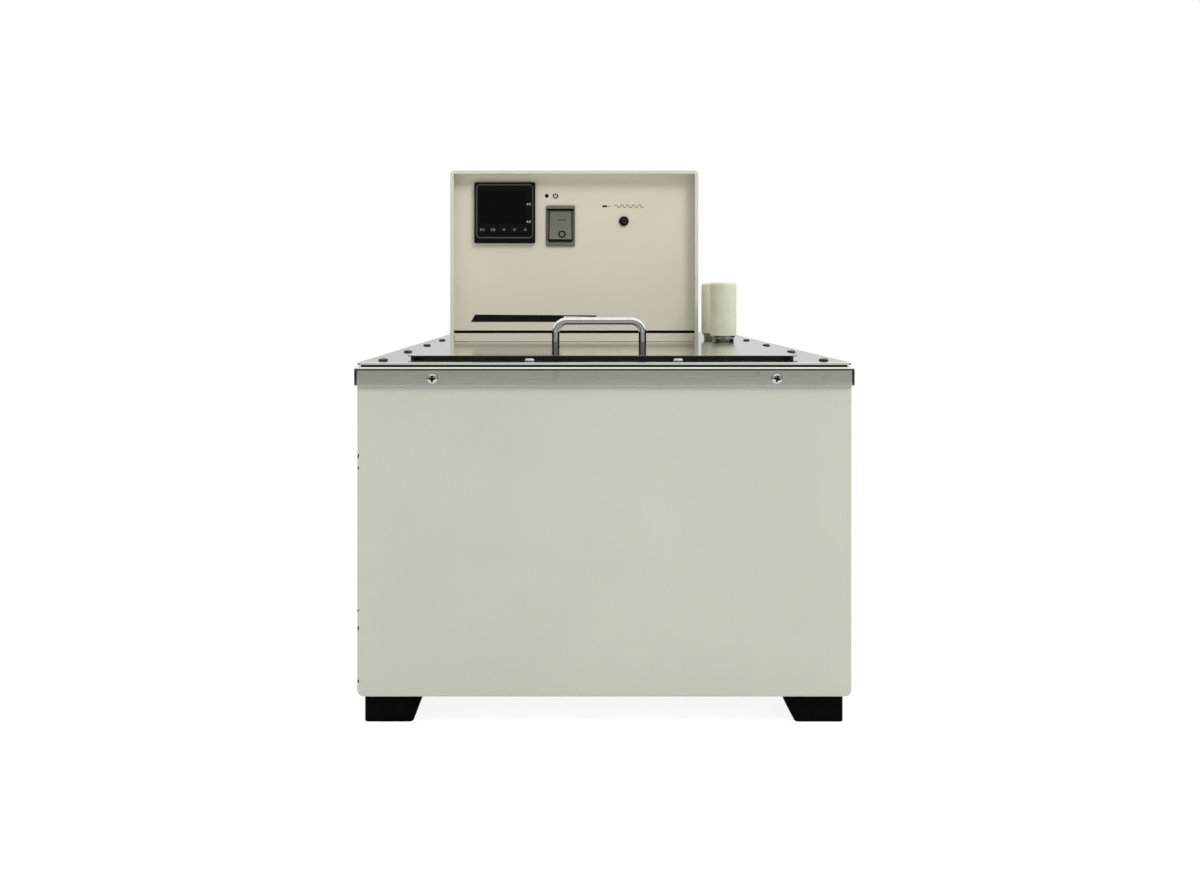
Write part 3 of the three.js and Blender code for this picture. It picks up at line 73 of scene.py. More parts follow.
deck_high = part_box("deck_plate")[1]
trim_low, trim_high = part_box("trim_frame")
case_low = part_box("case_wrap")[0]
head_low, head_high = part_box("head_cover")
panel_low, panel_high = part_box("head_front_panel")
lid_low, lid_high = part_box("lid")
front = trim_low.y
bath_middle_x = (trim_low.x + trim_high.x) / 2


# Camera, at the photograph's place: level, 0.5 m ahead of the bath and just above its deck

PHOTO_WIDTH = 1200
FOCAL_PIXELS = 920
SENSOR = 36
EYE_AHEAD = 496 * MM
EYE_ABOVE_DECK = 36.1 * MM
EYE_LEFT = 16.5 * MM
VIEW_SHIFT = (0.0217, -0.125)
CLIP_START = 10 * MM
VANISHING_POINT = (574, 296)  # the photograph's pixel that the camera looks straight at

eye = Vector((bath_middle_x - EYE_LEFT, front - EYE_AHEAD, deck_high.z + EYE_ABOVE_DECK))


def make_camera():
    data = bpy.data.cameras.new("camera")
    data.sensor_width = SENSOR
    data.lens = FOCAL_PIXELS / PHOTO_WIDTH * SENSOR
    data.shift_x, data.shift_y = VIEW_SHIFT
    data.clip_start = CLIP_START
    camera = bpy.data.objects.new("camera", data)
    camera.location = eye
    camera.rotation_euler = (QUARTER, 0, 0)
    bpy.context.scene.collection.objects.link(camera)
    bpy.context.scene.camera = camera


def seen_at(pixel_x, pixel_y, y):
    """The place in the plane at depth y that the photograph shows at this pixel."""
    scale = (y - eye.y) / FOCAL_PIXELS
    right = (pixel_x - VANISHING_POINT[0]) * scale
    up = (VANISHING_POINT[1] - pixel_y) * scale
    return Vector((eye.x + right, y, eye.z + up))


# Materials

def linear(code):
    """An sRGB hex colour as linear RGBA."""
    channels = [int(code[i:i + 2], 16) / 255 for i in (1, 3, 5)]
    straight = [c / 12.92 if c <= 0.04045 else ((c + 0.055) / 1.055) ** 2.4 for c in channels]
    return (*straight, 1)


def add(tree, kind, output=None, **values):
    """Adds a node and returns the named output, or else the first that its settings leave in use.

    A name in small letters is a setting. Any other is an input's identifier, and its value is a plain one,
    a hex colour or a socket to link from.
    """
    node = tree.nodes.new("ShaderNode" + kind)
    inputs = {socket.identifier.replace(" ", "_"): socket for socket in node.inputs}
    for name, value in values.items():
        if name.islower():
            setattr(node, name, value)
        elif isinstance(value, bpy.types.NodeSocket):
            tree.links.new(value, inputs[name])
        else:
            inputs[name].default_value = linear(value) if isinstance(value, str) else value
    return node.outputs[output] if output else next(socket for socket in node.outputs if socket.enabled)


class Look:
    """A material in the making, whose patterns are laid out in the object's own metres.

    Real brush lines, wiping scratches and tool rings are too fine to show, and are drawn coarser.
    """

    def __init__(self, name, **plain):
        self.material = bpy.data.materials.new(name)
        self.material.use_nodes = True
        self.tree = self.material.node_tree
        self.shader = self.tree.nodes["Principled BSDF"]
        for socket, value in plain.items():
            self.shader.inputs[socket.replace("_", " ")].default_value = value
        self.place = add(self.tree, "TexCoord", "Object")

    def between(self, pattern, first, second, most=1, start=0.3, end=0.7):
        """Goes from the first value or colour to the second as the pattern rises from start to end.

        A second colour gets the share "most" at the end of the rise.
        """
        rise = {"Value": pattern, "From_Min": start, "From_Max": end}
        if not isinstance(second, str):
            return add(self.tree, "MapRange", **rise, To_Min=first, To_Max=second)
        share = add(self.tree, "MapRange", **rise, To_Min=0, To_Max=most)
        return add(self.tree, "Mix", data_type="RGBA", Factor_Float=share, A_Color=first, B_Color=second)

    def finished(self, colour, rough=None, height=None, depth=0, strength=1):
        """Links the patterns to the shader; the depth is the relief's, in metres."""
        self.tree.links.new(colour, self.shader.inputs["Base Color"])
        if rough:
            self.tree.links.new(rough, self.shader.inputs["Roughness"])
        if height:
            relief = add(self.tree, "Bump", Height=height, Distance=depth, Strength=strength)
            self.tree.links.new(relief, self.shader.inputs["Normal"])
        return self.material


def stoving_enamel(name, dark, light, grime):
    """Stoved enamel sprayed on sheet steel: an even semi-gloss cream with a faint orange peel."""
    look = Look(name, IOR=1.5)
    cloud = add(look.tree, "TexNoise", Vector=look.place, Scale=1 / (70 * MM), Detail=3)
    speck = add(look.tree, "TexNoise", Vector=look.place, Scale=1 / (1.2 * MM), Detail=3, Roughness=0.6)
    sheen = add(look.tree, "TexNoise", Vector=look.place, Scale=1 / (25 * MM), Detail=3)
    peel = add(look.tree, "TexNoise", Vector=look.place, Scale=1 / (1.6 * MM), Detail=1)
    colour = look.between(speck, look.between(cloud, dark, light), grime, most=0.12)
    return look.finished(colour, look.between(sheen, 0.3, 0.38), peel, depth=0.02 * MM, strength=0.35)


def bright_sheet():
    """Bright annealed stainless sheet: a mirror, veiled by wiping scratches and faint smudges."""
    look = Look("bright_stainless_sheet", Metallic=1)
    across = add(look.tree, "Mapping", Vector=look.place, Scale=(0.05, 1, 1))
    wiped = add(look.tree, "TexNoise", Vector=across, Scale=1 / (0.5 * MM), Detail=3, Roughness=0.6)
    smudge = add(look.tree, "TexNoise", Vector=look.place, Scale=1 / (45 * MM), Detail=4, Roughness=0.6)
    colour = look.between(smudge, "#E9EEE3", "#DFE6DA")
    veil = add(look.tree, "Math", operation="ADD", Value=look.between(smudge, 0.03, 0.06),
               Value_001=look.between(wiped, 0, 0.03))
    return look.finished(colour, veil, wiped, depth=0.003 * MM, strength=0.25)


def satin_lid():
    """Stainless sheet with a satin finish rubbed across it: a mirror that softens what lies further off."""
    look = Look("satin_stainless_lid", Metallic=1, Anisotropic=0.3)
    across = add(look.tree, "Mapping", Vector=look.place, Scale=(0.03, 1, 1))
    rubbed = add(look.tree, "TexNoise", Vector=across, Scale=1 / (0.5 * MM), Detail=3, Roughness=0.6)
    cloud = add(look.tree, "TexNoise", Vector=look.place, Scale=1 / (40 * MM), Detail=4, Roughness=0.6)
    colour = look.between(rubbed, look.between(cloud, "#ECF3F1", "#E4EBE9"), "#D4D7D5", most=0.4)
    return look.finished(colour, look.between(rubbed, 0.09, 0.135), rubbed, depth=0.004 * MM, strength=0.3)


def brushed_band(name, dark, light):
    """Stainless strip brushed along its length: level grain lines and a few darker stains."""
    look = Look(name, Metallic=1, Anisotropic=0.4)
    level = add(look.tree, "Mapping", Vector=look.place, Scale=(0.012, 0.012, 1))
    grain = add(look.tree, "TexNoise", Vector=level, Scale=1 / (0.35 * MM), Detail=4, Roughness=0.7)
    upright = add(look.tree, "Mapping", Vector=look.place, Scale=(1, 1, 0.6))
    stain = add(look.tree, "TexNoise", Vector=upright, Scale=1 / (9 * MM), Detail=3, Roughness=0.6)
    steel = look.between(grain, dark, light)
    colour = look.between(stain, steel, "#868A83", most=0.3, start=0.6, end=0.75)
    return look.finished(colour, look.between(grain, 0.12, 0.2), grain, depth=0.006 * MM, strength=0.4)


def drawn_rod():
    """Polished stainless rod, bright where hands wipe it; an attribute paints shade under the grip and dark
    reflections down the legs.
    """
    look = Look("polished_stainless_rod", Metallic=1)
    haze = add(look.tree, "TexNoise", Vector=look.place, Scale=1 / (3 * MM), Detail=4, Roughness=0.7)
    film = add(look.tree, "Attribute", "Fac", attribute_name="film")
    steel = look.between(haze, "#F1F2EF", "#DEDFDC")
    # The rod turns dark where the attribute is high: painted shade and reflection.
    colour = look.between(film, steel, "#474845", start=0.05, end=0.6)
    return look.finished(colour, look.between(haze, 0.02, 0.05))


def turned_metal(name, light, dark, rough):
    """Turned and plated fittings: bright metal with fine rings left by the tool."""
    look = Look(name, Metallic=1)
    around = add(look.tree, "Mapping", Vector=look.place, Scale=(0.03, 0.03, 1))
    rings = add(look.tree, "TexNoise", Vector=around, Scale=1 / (0.3 * MM))
    patch = add(look.tree, "TexNoise", Vector=look.place, Scale=1 / (5 * MM), Detail=4, Roughness=0.6)
    gloss = look.between(patch, rough, rough + 0.1)
    return look.finished(look.between(patch, light, dark), gloss, rings, depth=0.01 * MM, strength=0.5)


def satin_steel():
    """Pickled stainless inside the tank: grey, satin, with scale stains from water."""
    look = Look("pickled_stainless", Metallic=1)
    stain = add(look.tree, "TexNoise", Vector=look.place, Scale=1 / (18 * MM), Detail=5, Roughness=0.62)
    etch = add(look.tree, "TexNoise", Vector=look.place, Scale=1 / (0.8 * MM))
    colour = look.between(stain, "#C2C4C0", "#A4A6A1")
    return look.finished(colour, look.between(stain, 0.22, 0.4), etch, depth=0.01 * MM, strength=0.4)


def plastic(name, light, dark, grain, rough, **plain):
    """Moulded plastic, silicone or fine rubber: even colour, with the small grain that the mould leaves."""
    look = Look(name, **plain)
    cloud = add(look.tree, "TexNoise", Vector=look.place, Scale=1 / (12 * grain), Detail=3)
    sheen = add(look.tree, "TexNoise", Vector=look.place, Scale=1 / (4 * grain))
    pits = add(look.tree, "TexNoise", Vector=look.place, Scale=1 / grain, Detail=3, Roughness=0.6)
    gloss = look.between(sheen, rough - 0.04, rough + 0.04)
    return look.finished(look.between(cloud, light, dark), gloss, pits, depth=0.01 * MM, strength=0.5)


def foot_rubber():
    """Moulded black rubber: dull, with a dusty bloom and a coarse grain."""
    look = Look("moulded_rubber", IOR=1.52, Specular_IOR_Level=0.04)
    dust = add(look.tree, "TexNoise", Vector=look.place, Scale=1 / (4 * MM), Detail=5, Roughness=0.7)
    pits = add(look.tree, "TexNoise", Vector=look.place, Scale=1 / (0.6 * MM), Detail=3)
    colour = look.between(dust, "#050606", "#0F0F0E", most=0.5, start=0.45, end=0.8)
    return look.finished(colour, look.between(dust, 0.6, 0.8), pits, depth=0.05 * MM, strength=0.6)


def cap_polyethylene():
    """Milky polyethylene: light sinks in and softens the shading, the skin is slightly waxy."""
    look = Look("milky_polyethylene", Subsurface_Weight=0.35, Subsurface_Scale=3 * MM,
                Subsurface_Radius=(1, 0.9, 0.6), IOR=1.51)
    cloud = add(look.tree, "TexNoise", Vector=look.place, Scale=1 / (8 * MM), Detail=3)
    wax = add(look.tree, "TexNoise", Vector=look.place, Scale=1 / (2 * MM))
    upright = add(look.tree, "Mapping", Vector=look.place, Scale=(1, 1, 0.2))
    streaks = add(look.tree, "TexNoise", Vector=upright, Scale=1 / (0.9 * MM))
    colour = look.between(cloud, "#E9E7D0", "#E0DEC6")
    return look.finished(colour, look.between(wax, 0.34, 0.46), streaks, depth=0.02 * MM, strength=0.4)


def lamp_red():
    """Dark red acrylic lens: a glossy skin over a depth that is nearly black."""
    look = Look("red_acrylic", Roughness=0.08, IOR=1.49, Specular_IOR_Level=0.3, Transmission_Weight=0.08)
    depth = add(look.tree, "TexNoise", Vector=look.place, Scale=1 / (1.5 * MM))
    return look.finished(look.between(depth, "#460D0A", "#220504"))


def smoked_acrylic():
    """Smoked display window: a hard black gloss with a trace of dust."""
    look = Look("smoked_acrylic", IOR=1.49, Specular_IOR_Level=0.15)
    dust = add(look.tree, "TexNoise", Vector=look.place, Scale=1 / (1.5 * MM), Detail=5, Roughness=0.7)
    colour = look.between(dust, "#0B0B0C", "#131314", most=0.3, start=0.55, end=0.8)
    return look.finished(colour, look.between(dust, 0.07, 0.16))


def print_ink(name, code):
    """Screen-printed ink: a flat colour, slightly uneven in tone and gloss, as primer and grime are too."""
    look = Look(name, IOR=1.5, Specular_IOR_Level=0.15)
    speck = add(look.tree, "TexNoise", Vector=look.place, Scale=1 / (0.4 * MM))
    return look.finished(look.between(speck, code, "#8C8C88", most=0.04), look.between(speck, 0.4, 0.55))


def foam():
    """Open-cell foam of the jacket: pale yellow, matt and full of small pits."""
    look = Look("insulating_foam", Roughness=0.95)
    cells = add(look.tree, "TexNoise", Vector=look.place, Scale=1 / (1.5 * MM), Detail=4, Roughness=0.7)
    return look.finished(look.between(cells, "#D8CFA8", "#B5AA80"), height=cells, depth=0.3 * MM)


def motor_paint():
    """Hammered grey enamel on the motor's castings: glossy, with soft dimples."""
    look = Look("hammered_enamel", IOR=1.5)
    dimple = add(look.tree, "TexNoise", Vector=look.place, Scale=1 / (1.2 * MM))
    colour = look.between(dimple, "#4B4F52", "#5C6164")
    return look.finished(colour, look.between(dimple, 0.35, 0.5), dimple, depth=0.1 * MM)


# The head's panel and cover are the body's cream paint; their lighter copies of it are painted light.
enamel = stoving_enamel("stoving_enamel", "#C8C7BB", "#CCCBBF", "#BBBAAD")
panel_enamel = stoving_enamel("panel_enamel", "#E7E0CD", "#EBE4D1", "#DAD3C0")
cover_enamel = stoving_enamel("cover_enamel", "#DEDDD1", "#E2E1D5", "#CFCEC1")
sheet = bright_sheet()
lid_satin = satin_lid()
band = brushed_band("brushed_stainless_band", "#B2B6AB", "#BDC1B5")
# A darker copy of the band's steel, for the painted shade line under the band's rolled edge.
fold = brushed_band("dull_stainless_fold", "#5B5E58", "#666962")
# A darker copy of the stainless, for the lid's edge faces: painted shade.
sheared = brushed_band("sheared_stainless_edge", "#50524D", "#5C5E59")
rod = drawn_rod()
nickel = turned_metal("nickel_plate", "#98948A", "#7C7870", 0.1)
brass = turned_metal("turned_brass", "#C9A862", "#A88845", 0.2)
screw_steel = turned_metal("zinc_plated_screw", "#E2E3E0", "#B4B5B1", 0.1)
# The deck's screws take a darker copy of the screw metal.
deck_screw_steel = turned_metal("tarnished_screw", "#6A6B68", "#3A3B38", 0.16)
tank_steel = satin_steel()
rubber = foot_rubber()
abs_black = plastic("black_abs", "#090909", "#0D0D0E", 0.25 * MM, 0.36, IOR=1.54, Specular_IOR_Level=0.12)
seal_rubber = plastic("seal_rubber", "#1B1C1B", "#131413", 0.4 * MM, 0.5, IOR=1.52, Specular_IOR_Level=0.2)
key_black = plastic("key_silicone", "#0E0E0F", "#151516", 0.2 * MM, 0.5, IOR=1.43, Specular_IOR_Level=0.2)
switch_grey = plastic("grey_nylon", "#787669", "#706E62", 0.2 * MM, 0.42, IOR=1.53)
white_plastic = plastic("white_nylon", "#E4E2D8", "#D8D6CA", 0.3 * MM, 0.45, IOR=1.53)
cap_plastic = cap_polyethylene()
lens_red = lamp_red()
window_black = smoked_acrylic()
black_ink = print_ink("black_ink", "#060605")
grey_ink = print_ink("grey_ink", "#6E6E68")
dark_ink = print_ink("dark_ink", "#484846")
line_ink = print_ink("line_ink", "#545452")
pale_ink = print_ink("pale_ink", "#A3A4A0")
dim_ink = print_ink("dim_ink", "#7C7D7A")
chip_grey = print_ink("bare_primer", "#2C2C2A")
# A near-black lining for the screws' cross recesses: painted shade.
recess_dark = print_ink("recess_grime", "#0C0C0B")
foam_yellow = foam()
motor_grey = motor_paint()


# Mesh helpers

def finish_piece(name, bm, material, body, stands_for=(), reorient=True):
    """Makes the bmesh a piece that rides on a body, with crisp edges only where it turns sharply."""
    if reorient:
        bmesh.ops.remove_doubles(bm, verts=bm.verts, dist=MERGE)
        bmesh.ops.recalc_face_normals(bm, faces=bm.faces)
    mesh = bpy.data.meshes.new(name)
    bm.to_mesh(mesh)
    bm.free()
    mesh.polygons.foreach_set("use_smooth", [True] * len(mesh.polygons))
    mesh.set_sharp_from_angle(angle=SHARP)
    mesh.materials.append(material)
    piece = bpy.data.objects.new(name, mesh)
    bpy.context.scene.collection.objects.link(piece)
    piece.modifiers.new("even_shading", "WEIGHTED_NORMAL").keep_sharp = True
    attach(piece, body)
    if stands_for:
        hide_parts(*stands_for)
    return piece


def soften(bm, width, segments=3, angle=SHARP):
    """Rounds every edge that turns by more than the angle."""
    edges = [e for e in bm.edges if len(e.link_faces) == 2 and e.calc_face_angle(0) > angle]
    bmesh.ops.bevel(bm, geom=edges, offset=width, offset_type="OFFSET", segments=segments, profile=0.5,
                    affect="EDGES", clamp_overlap=True, material=-1)


def moved(bm, matrix, verts=None):
    bmesh.ops.transform(bm, matrix=matrix, verts=verts or bm.verts)
    return bm


def joined(bm, other):
    """Adds the other bmesh's faces to the first."""
    mesh = bpy.data.meshes.new("joined")
    other.to_mesh(mesh)
    other.free()
    bm.from_mesh(mesh)
    bpy.data.meshes.remove(mesh)
    return bm


def spun(profile, steps=64):
    """A round piece about the Z axis from a profile of (radius, height) points."""
    bm = bmesh.new()
    verts = [bm.verts.new((radius, 0, height)) for radius, height in profile]
    edges = [bm.edges.new(pair) for pair in zip(verts, verts[1:])]
    bmesh.ops.spin(bm, geom=verts + edges, cent=(0, 0, 0), axis=(0, 0, 1), angle=4 * QUARTER, steps=steps,
                   use_merge=True)
    bmesh.ops.remove_doubles(bm, verts=bm.verts, dist=MERGE)
    bmesh.ops.recalc_face_normals(bm, faces=bm.faces)
    return bm


def rounded_face(width, depth, corner, segments=10):
    """One flat face, a rectangle about the origin with round corners."""
    bm = bmesh.new()
    bmesh.ops.create_grid(bm, x_segments=1, y_segments=1, size=0.5)
    bmesh.ops.scale(bm, vec=(width, depth, 1), verts=bm.verts)
    bmesh.ops.bevel(bm, geom=bm.verts[:], offset=corner, offset_type="OFFSET", segments=segments, profile=0.5,
                    affect="VERTICES", material=-1)
    return bm


def raised(bm, height):
    """Pulls the flat faces up into a closed slab."""
    made = bmesh.ops.extrude_face_region(bm, geom=bm.faces[:], use_keep_orig=True)
    top = [g for g in made["geom"] if isinstance(g, bmesh.types.BMVert)]
    bmesh.ops.translate(bm, vec=(0, 0, height), verts=top)
    bmesh.ops.recalc_face_normals(bm, faces=bm.faces)
    return bm


def slab(width, depth, corner, low, high, segments=10):
    """A flat slab about the Z axis, with round corners, between two heights."""
    outline = rounded_face(width, depth, corner, segments)
    return moved(raised(outline, high - low), Matrix.Translation((0, 0, low)))


def hollowed(bm, wall, depth):
    """Sinks the slab's lower face inside a wall."""
    face = min(bm.faces, key=lambda f: f.calc_center_median().z)
    bmesh.ops.inset_region(bm, faces=[face], thickness=wall, use_even_offset=True)
    bmesh.ops.translate(bm, vec=(0, 0, depth), verts=face.verts[:])
    return bm


def cad_copy(node):
    """A clean copy of a CAD node's mesh: points merged and flat areas dissolved."""
    bm = bmesh.new()
    bm.from_mesh(frame["nodes"][node].data)
    bmesh.ops.remove_doubles(bm, verts=bm.verts, dist=MERGE)
    bmesh.ops.dissolve_limit(bm, angle_limit=FLAT, verts=bm.verts, edges=bm.edges)
    return bm


def surface_place(node, x, z):
    """A matrix on the node's front surface at this x and z: its Z axis stands out, its Y axis up."""
    bm = bmesh.new()
    bm.from_mesh(frame["nodes"][node].data)
    point, normal, _, _ = BVHTree.FromBMesh(bm).ray_cast(Vector((x, front, z)), Vector((0, 1, 0)))
    bm.free()
    across = Vector((0, 0, 1)).cross(normal).normalized()
    up = normal.cross(across)
    matrix = Matrix((across, up, normal)).transposed().to_4x4()
    matrix.translation = point + normal * PRINT_LIFT
    return matrix


# Which finish each node takes, by the record's material slot unless it has one of its own

SLOT_OF = {part["node"]: part["material_slot"] for part in frame["record"]["subparts"]}
FINISH = {
    "cream_paint": enamel, "polished_stainless": sheet, "satin_stainless": tank_steel, "black_rubber": rubber,
    "insulating_foam": foam_yellow, "black_plastic": abs_black, "smoked_window": window_black,
    "grey_plastic": switch_grey, "red_lens": lens_red, "cap_plastic": cap_plastic,
    "white_plastic": white_plastic, "motor_enamel": motor_grey, "plain_brass": brass,
}
OWN_FINISH = {
    "trim_frame": band, "lid_handle": rod, "hose_nozzle_front": nickel, "hose_nozzle_rear": nickel,
    "level_key": key_black, "mode_key": key_black, "shift_key": key_black, "down_key": key_black,
    "up_key": key_black, "lid_seal": seal_rubber, "head_front_panel": panel_enamel, "head_base": panel_enamel,
    "head_cover": cover_enamel, "lid": lid_satin,
}


def finish_of(node):
    return OWN_FINISH.get(node, FINISH[SLOT_OF[node]])


def body_of(node):
    return frame["nodes"][node]["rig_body"]


def stand_in(name, bm, node, material=None):
    """A piece that stands for the CAD node, on its body and with its finish."""
    return finish_piece(name, bm, material or finish_of(node), body_of(node), (node,))


def on_bath(name, bm, material):
    return finish_piece(name, bm, material, "bath")


# Sheet metal and rubber, from the CAD nodes' own shapes with their edges rounded

PANEL_BEND = 0.9 * MM
COVER_EDGE = 0.45 * MM
DECK_EDGE = 0.5 * MM
FOOT_EDGE = 0.9 * MM
FINE_EDGE = 0.25 * MM
SHEET_EDGE = 0.3 * MM
# Heights below the band's top: down to the first the roll takes a painted highlight, down to the second a
# painted shade line.
BRIGHT_HEIGHT = 1.25 * MM
ROLL_HEIGHT = 2.1 * MM
# The joint's black strip is painted shade of its gap.
JOINT_HEIGHT = 2.1 * MM
JOINT_PROUD = 0.12 * MM
JOINT_DEPTH = 0.3 * MM
JOINT_DROP = 0.3 * MM  # of the strip's middle below the panel's lower edge


def softened_at(bm, axis, level, width, segments=4):
    """Rounds the sharp edges that lie in the plane at this level of the axis."""
    edges = [e for e in bm.edges if len(e.link_faces) == 2 and e.calc_face_angle(0) > SHARP
             and all(abs(v.co[axis] - level) < SAME_PLANE for v in e.verts)]
    bmesh.ops.bevel(bm, geom=edges, offset=width, offset_type="OFFSET", segments=segments, profile=0.5,
                    affect="EDGES", clamp_overlap=False, material=-1)


def make_sheet_metal():
    rounds = {  # node: the planes, as axis and level, whose edges are rounded, and how far
        "front_panel": ([(1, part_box("front_panel")[0].y)], PANEL_BEND),
        "rear_panel": ([(1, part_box("rear_panel")[1].y)], PANEL_BEND),
        "head_cover": ([(1, head_low.y), (1, head_high.y)], COVER_EDGE),
        "head_front_panel": ([(1, panel_low.y)], SHEET_EDGE),
        "head_rear_panel": ([(1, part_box("head_rear_panel")[1].y)], SHEET_EDGE),
        "head_base": ([(1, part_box("head_base")[0].y)], COVER_EDGE),
        "deck_plate": ([(2, deck_high.z)], DECK_EDGE),
        "trim_frame": ([(2, trim_low.z)], SHEET_EDGE),
    }
    for node, (planes, width) in rounds.items():
        bm = cad_copy(node)
        for axis, level in planes:
            softened_at(bm, axis, level, width)
        piece = stand_in(node + "_sheet", bm, node)
        if node == "trim_frame":
            polish_roll(piece.data)


def polish_roll(mesh):
    """The band's rolled top takes the deck's brighter steel as a painted highlight, above a painted shade
    line where the bend starts.
    """
    mesh.materials.append(sheet)
    mesh.materials.append(fold)
    for face in mesh.polygons:
        if face.center.z > trim_high.z - BRIGHT_HEIGHT:
            face.material_index = 1
        elif face.center.z > trim_high.z - ROLL_HEIGHT:
            face.material_index = 2


def make_seal():
    """The lid's seal, its lower lip hanging down to the deck."""
    bm = cad_copy("lid_seal")
    low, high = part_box("lid_seal")
    for vert in bm.verts:
        if vert.co.z < (low.z + high.z) / 2:
            vert.co.z = deck_high.z + PRINT_LIFT
    stand_in("lid_seal_lip", bm, "lid_seal")


def make_joint_strip():
    """A black strip that stands for the shadowed gap under the head's front panel, as painted shade, and the
    cream lip below it.
    """
    width = panel_high.x - panel_low.x
    strip = slab(width, JOINT_HEIGHT, JOINT_HEIGHT / 3, 0, JOINT_PROUD + JOINT_DEPTH, segments=3)
    lip = slab(width, JOINT_HEIGHT, JOINT_PROUD, 0, JOINT_DEPTH + PRINT_LIFT, segments=3)
    place = Matrix.Translation(((panel_low.x + panel_high.x) / 2, panel_low.y + JOINT_DEPTH,
                                panel_low.z - JOINT_DROP)) @ Matrix.Rotation(QUARTER, 4, "X")
    below = Matrix.Translation((0, 0, -JOINT_HEIGHT)) @ place
    on_bath("joint_strip", moved(strip, place), rubber)
    on_bath("sill_lip", moved(lip, below), panel_enamel)


def make_small_parts():
    """Moulded and machined parts: every sharp edge takes a small round."""
    widths = {node: FOOT_EDGE for node in frame["nodes"] if node.startswith("foot_")}
    widths.update({node: FINE_EDGE for node in (
        "controller_bezel", "switch_housing", "switch_rocker", "cord_gland", "drain_cock", "drain_plug",
        "display_window", "level_key", "mode_key", "shift_key", "down_key", "up_key", "pump_housing",
        "pump_motor", "level_float", "terminal_block", "solid_state_relay", "tank_outlet", "handle_nut_left",
        "handle_nut_right", "nozzle_nut_front", "nozzle_nut_rear",
    )})
    for node, width in widths.items():
        bm = cad_copy(node)
        soften(bm, width)
        stand_in(node + "_finished", bm, node)


def make_plain_parts():
    """The rest keep their CAD shape, merged so that their curves shade smoothly."""
    for node, carried in list(frame["nodes"].items()):
        if not carried.hide_render:
            stand_in(node + "_finished", cad_copy(node), node)


# Lid and its handle

LID_CORNER = 5 * MM
LID_SHEET = 0.6 * MM
LID_EDGE = 0.12 * MM
# The lid's edge faces, found by how far they lean out, take a darker steel as painted shade.
SHEARED_SHARE = 0.8  # an edge face leans out more than a top face does
SKIRT_INSET = 11.1 * MM
SKIRT_CORNER = 7.2 * MM
PLATE_SEGMENTS = 20
ROD_RADIUS = 2.5 * MM
ROD_BEND = 7.5 * MM
LEG_FILM = 0.33  # painted shade on the legs, from 0 for none to 1; the grip has it underneath
FILM_START = 0.45  # sideways lean of the surface from which it thickens


def make_lid():
    middle = Matrix.Translation(((lid_low.x + lid_high.x) / 2, (lid_low.y + lid_high.y) / 2, 0))
    width, depth = lid_high.x - lid_low.x, lid_high.y - lid_low.y
    underside = lid_high.z - LID_SHEET
    plate = slab(width, depth, LID_CORNER, underside, lid_high.z, PLATE_SEGMENTS)
    soften(plate, LID_EDGE, 4)
    for face in plate.faces:
        face.material_index = int(abs(face.normal.z) < SHEARED_SHARE)
    skirt = slab(width - 2 * SKIRT_INSET, depth - 2 * SKIRT_INSET, SKIRT_CORNER, lid_low.z, underside)
    hollowed(skirt, LID_SHEET, underside - lid_low.z - PRINT_LIFT)
    stand_in("lid_sheet", moved(joined(plate, skirt), middle), "lid").data.materials.append(sheared)


def bent_rod(radius, start, moves, sides=28, bend_steps=12):
    """A closed rod swept from a circle at the start; a move is a vector, or a centre, axis and angle."""
    bm = bmesh.new()
    at = Matrix.Translation(start)
    bmesh.ops.create_circle(bm, cap_ends=True, segments=sides, radius=radius, matrix=at)
    bmesh.ops.delete(bm, geom=bm.faces[:], context="FACES_KEEP_BOUNDARY")
    first = bm.edges[:]
    end = bm.verts[:] + first
    for move in moves:
        if isinstance(move, Vector):
            made = bmesh.ops.spin(bm, geom=end, cent=(0, 0, 0), axis=(0, 0, 1), dvec=move, angle=0, steps=1)
        else:
            centre, axis, angle = move
            made = bmesh.ops.spin(bm, geom=end, cent=centre, axis=axis, angle=angle, steps=bend_steps)
        end = made["geom_last"]
    last = [g for g in end if isinstance(g, bmesh.types.BMEdge)]
    bmesh.ops.contextual_create(bm, geom=first)
    bmesh.ops.contextual_create(bm, geom=last)
    return bm


def make_handle():
    low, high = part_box("lid_handle")
    foot = lid_high.z + PRINT_LIFT
    left, right = low.x + ROD_RADIUS, high.x - ROD_RADIUS
    y = (low.y + high.y) / 2
    top = high.z - ROD_RADIUS
    bend_at = top - ROD_BEND
    moves = [
        Vector((0, 0, bend_at - foot)),
        (Vector((left + ROD_BEND, y, bend_at)), Vector((0, 1, 0)), QUARTER),
        Vector((right - left - 2 * ROD_BEND, 0, 0)),
        (Vector((right - ROD_BEND, y, bend_at)), Vector((0, 1, 0)), QUARTER),
        Vector((0, 0, foot - bend_at)),
    ]
    mesh = stand_in("handle_rod", bent_rod(ROD_RADIUS, Vector((left, y, foot)), moves), "lid_handle").data
    # Painted shade under the grip and painted dark reflections down the legs' sides, kept in an attribute.
    films = []
    for vertex in mesh.vertices:
        if vertex.co.z > bend_at + MERGE:
            films.append(-vertex.normal.z)
        else:
            films.append(LEG_FILM + max(0, abs(vertex.normal.x) - FILM_START))
    mesh.attributes.new("film", "FLOAT", "POINT").data.foreach_set("value", films)


# Hose nozzles and their caps; profiles are (radius, height) in millimetres

CAP_BORE = 7
CAP_ROOF = 3
CAP_ROUND = 2.2
CAP_LIP = 0.35
CAP_STEPS = 72
NOZZLE_BORE = 4
NOZZLE_THREAD = 6
THREAD_PITCH = 1.4
NECK_RADIUS = 7.85
NECK_STEP = 4
FLANGE_RADIUS = 8.7
FLANGE_TOP = 6
BARB_WAIST = 5.7
BARB_RADIUS = 6.6
BARB_PITCH = 10.5
BARB_RISE = 8
BARB_COUNT = 3
LEAD = 1  # height of a chamfer, and of the gap under the barbs


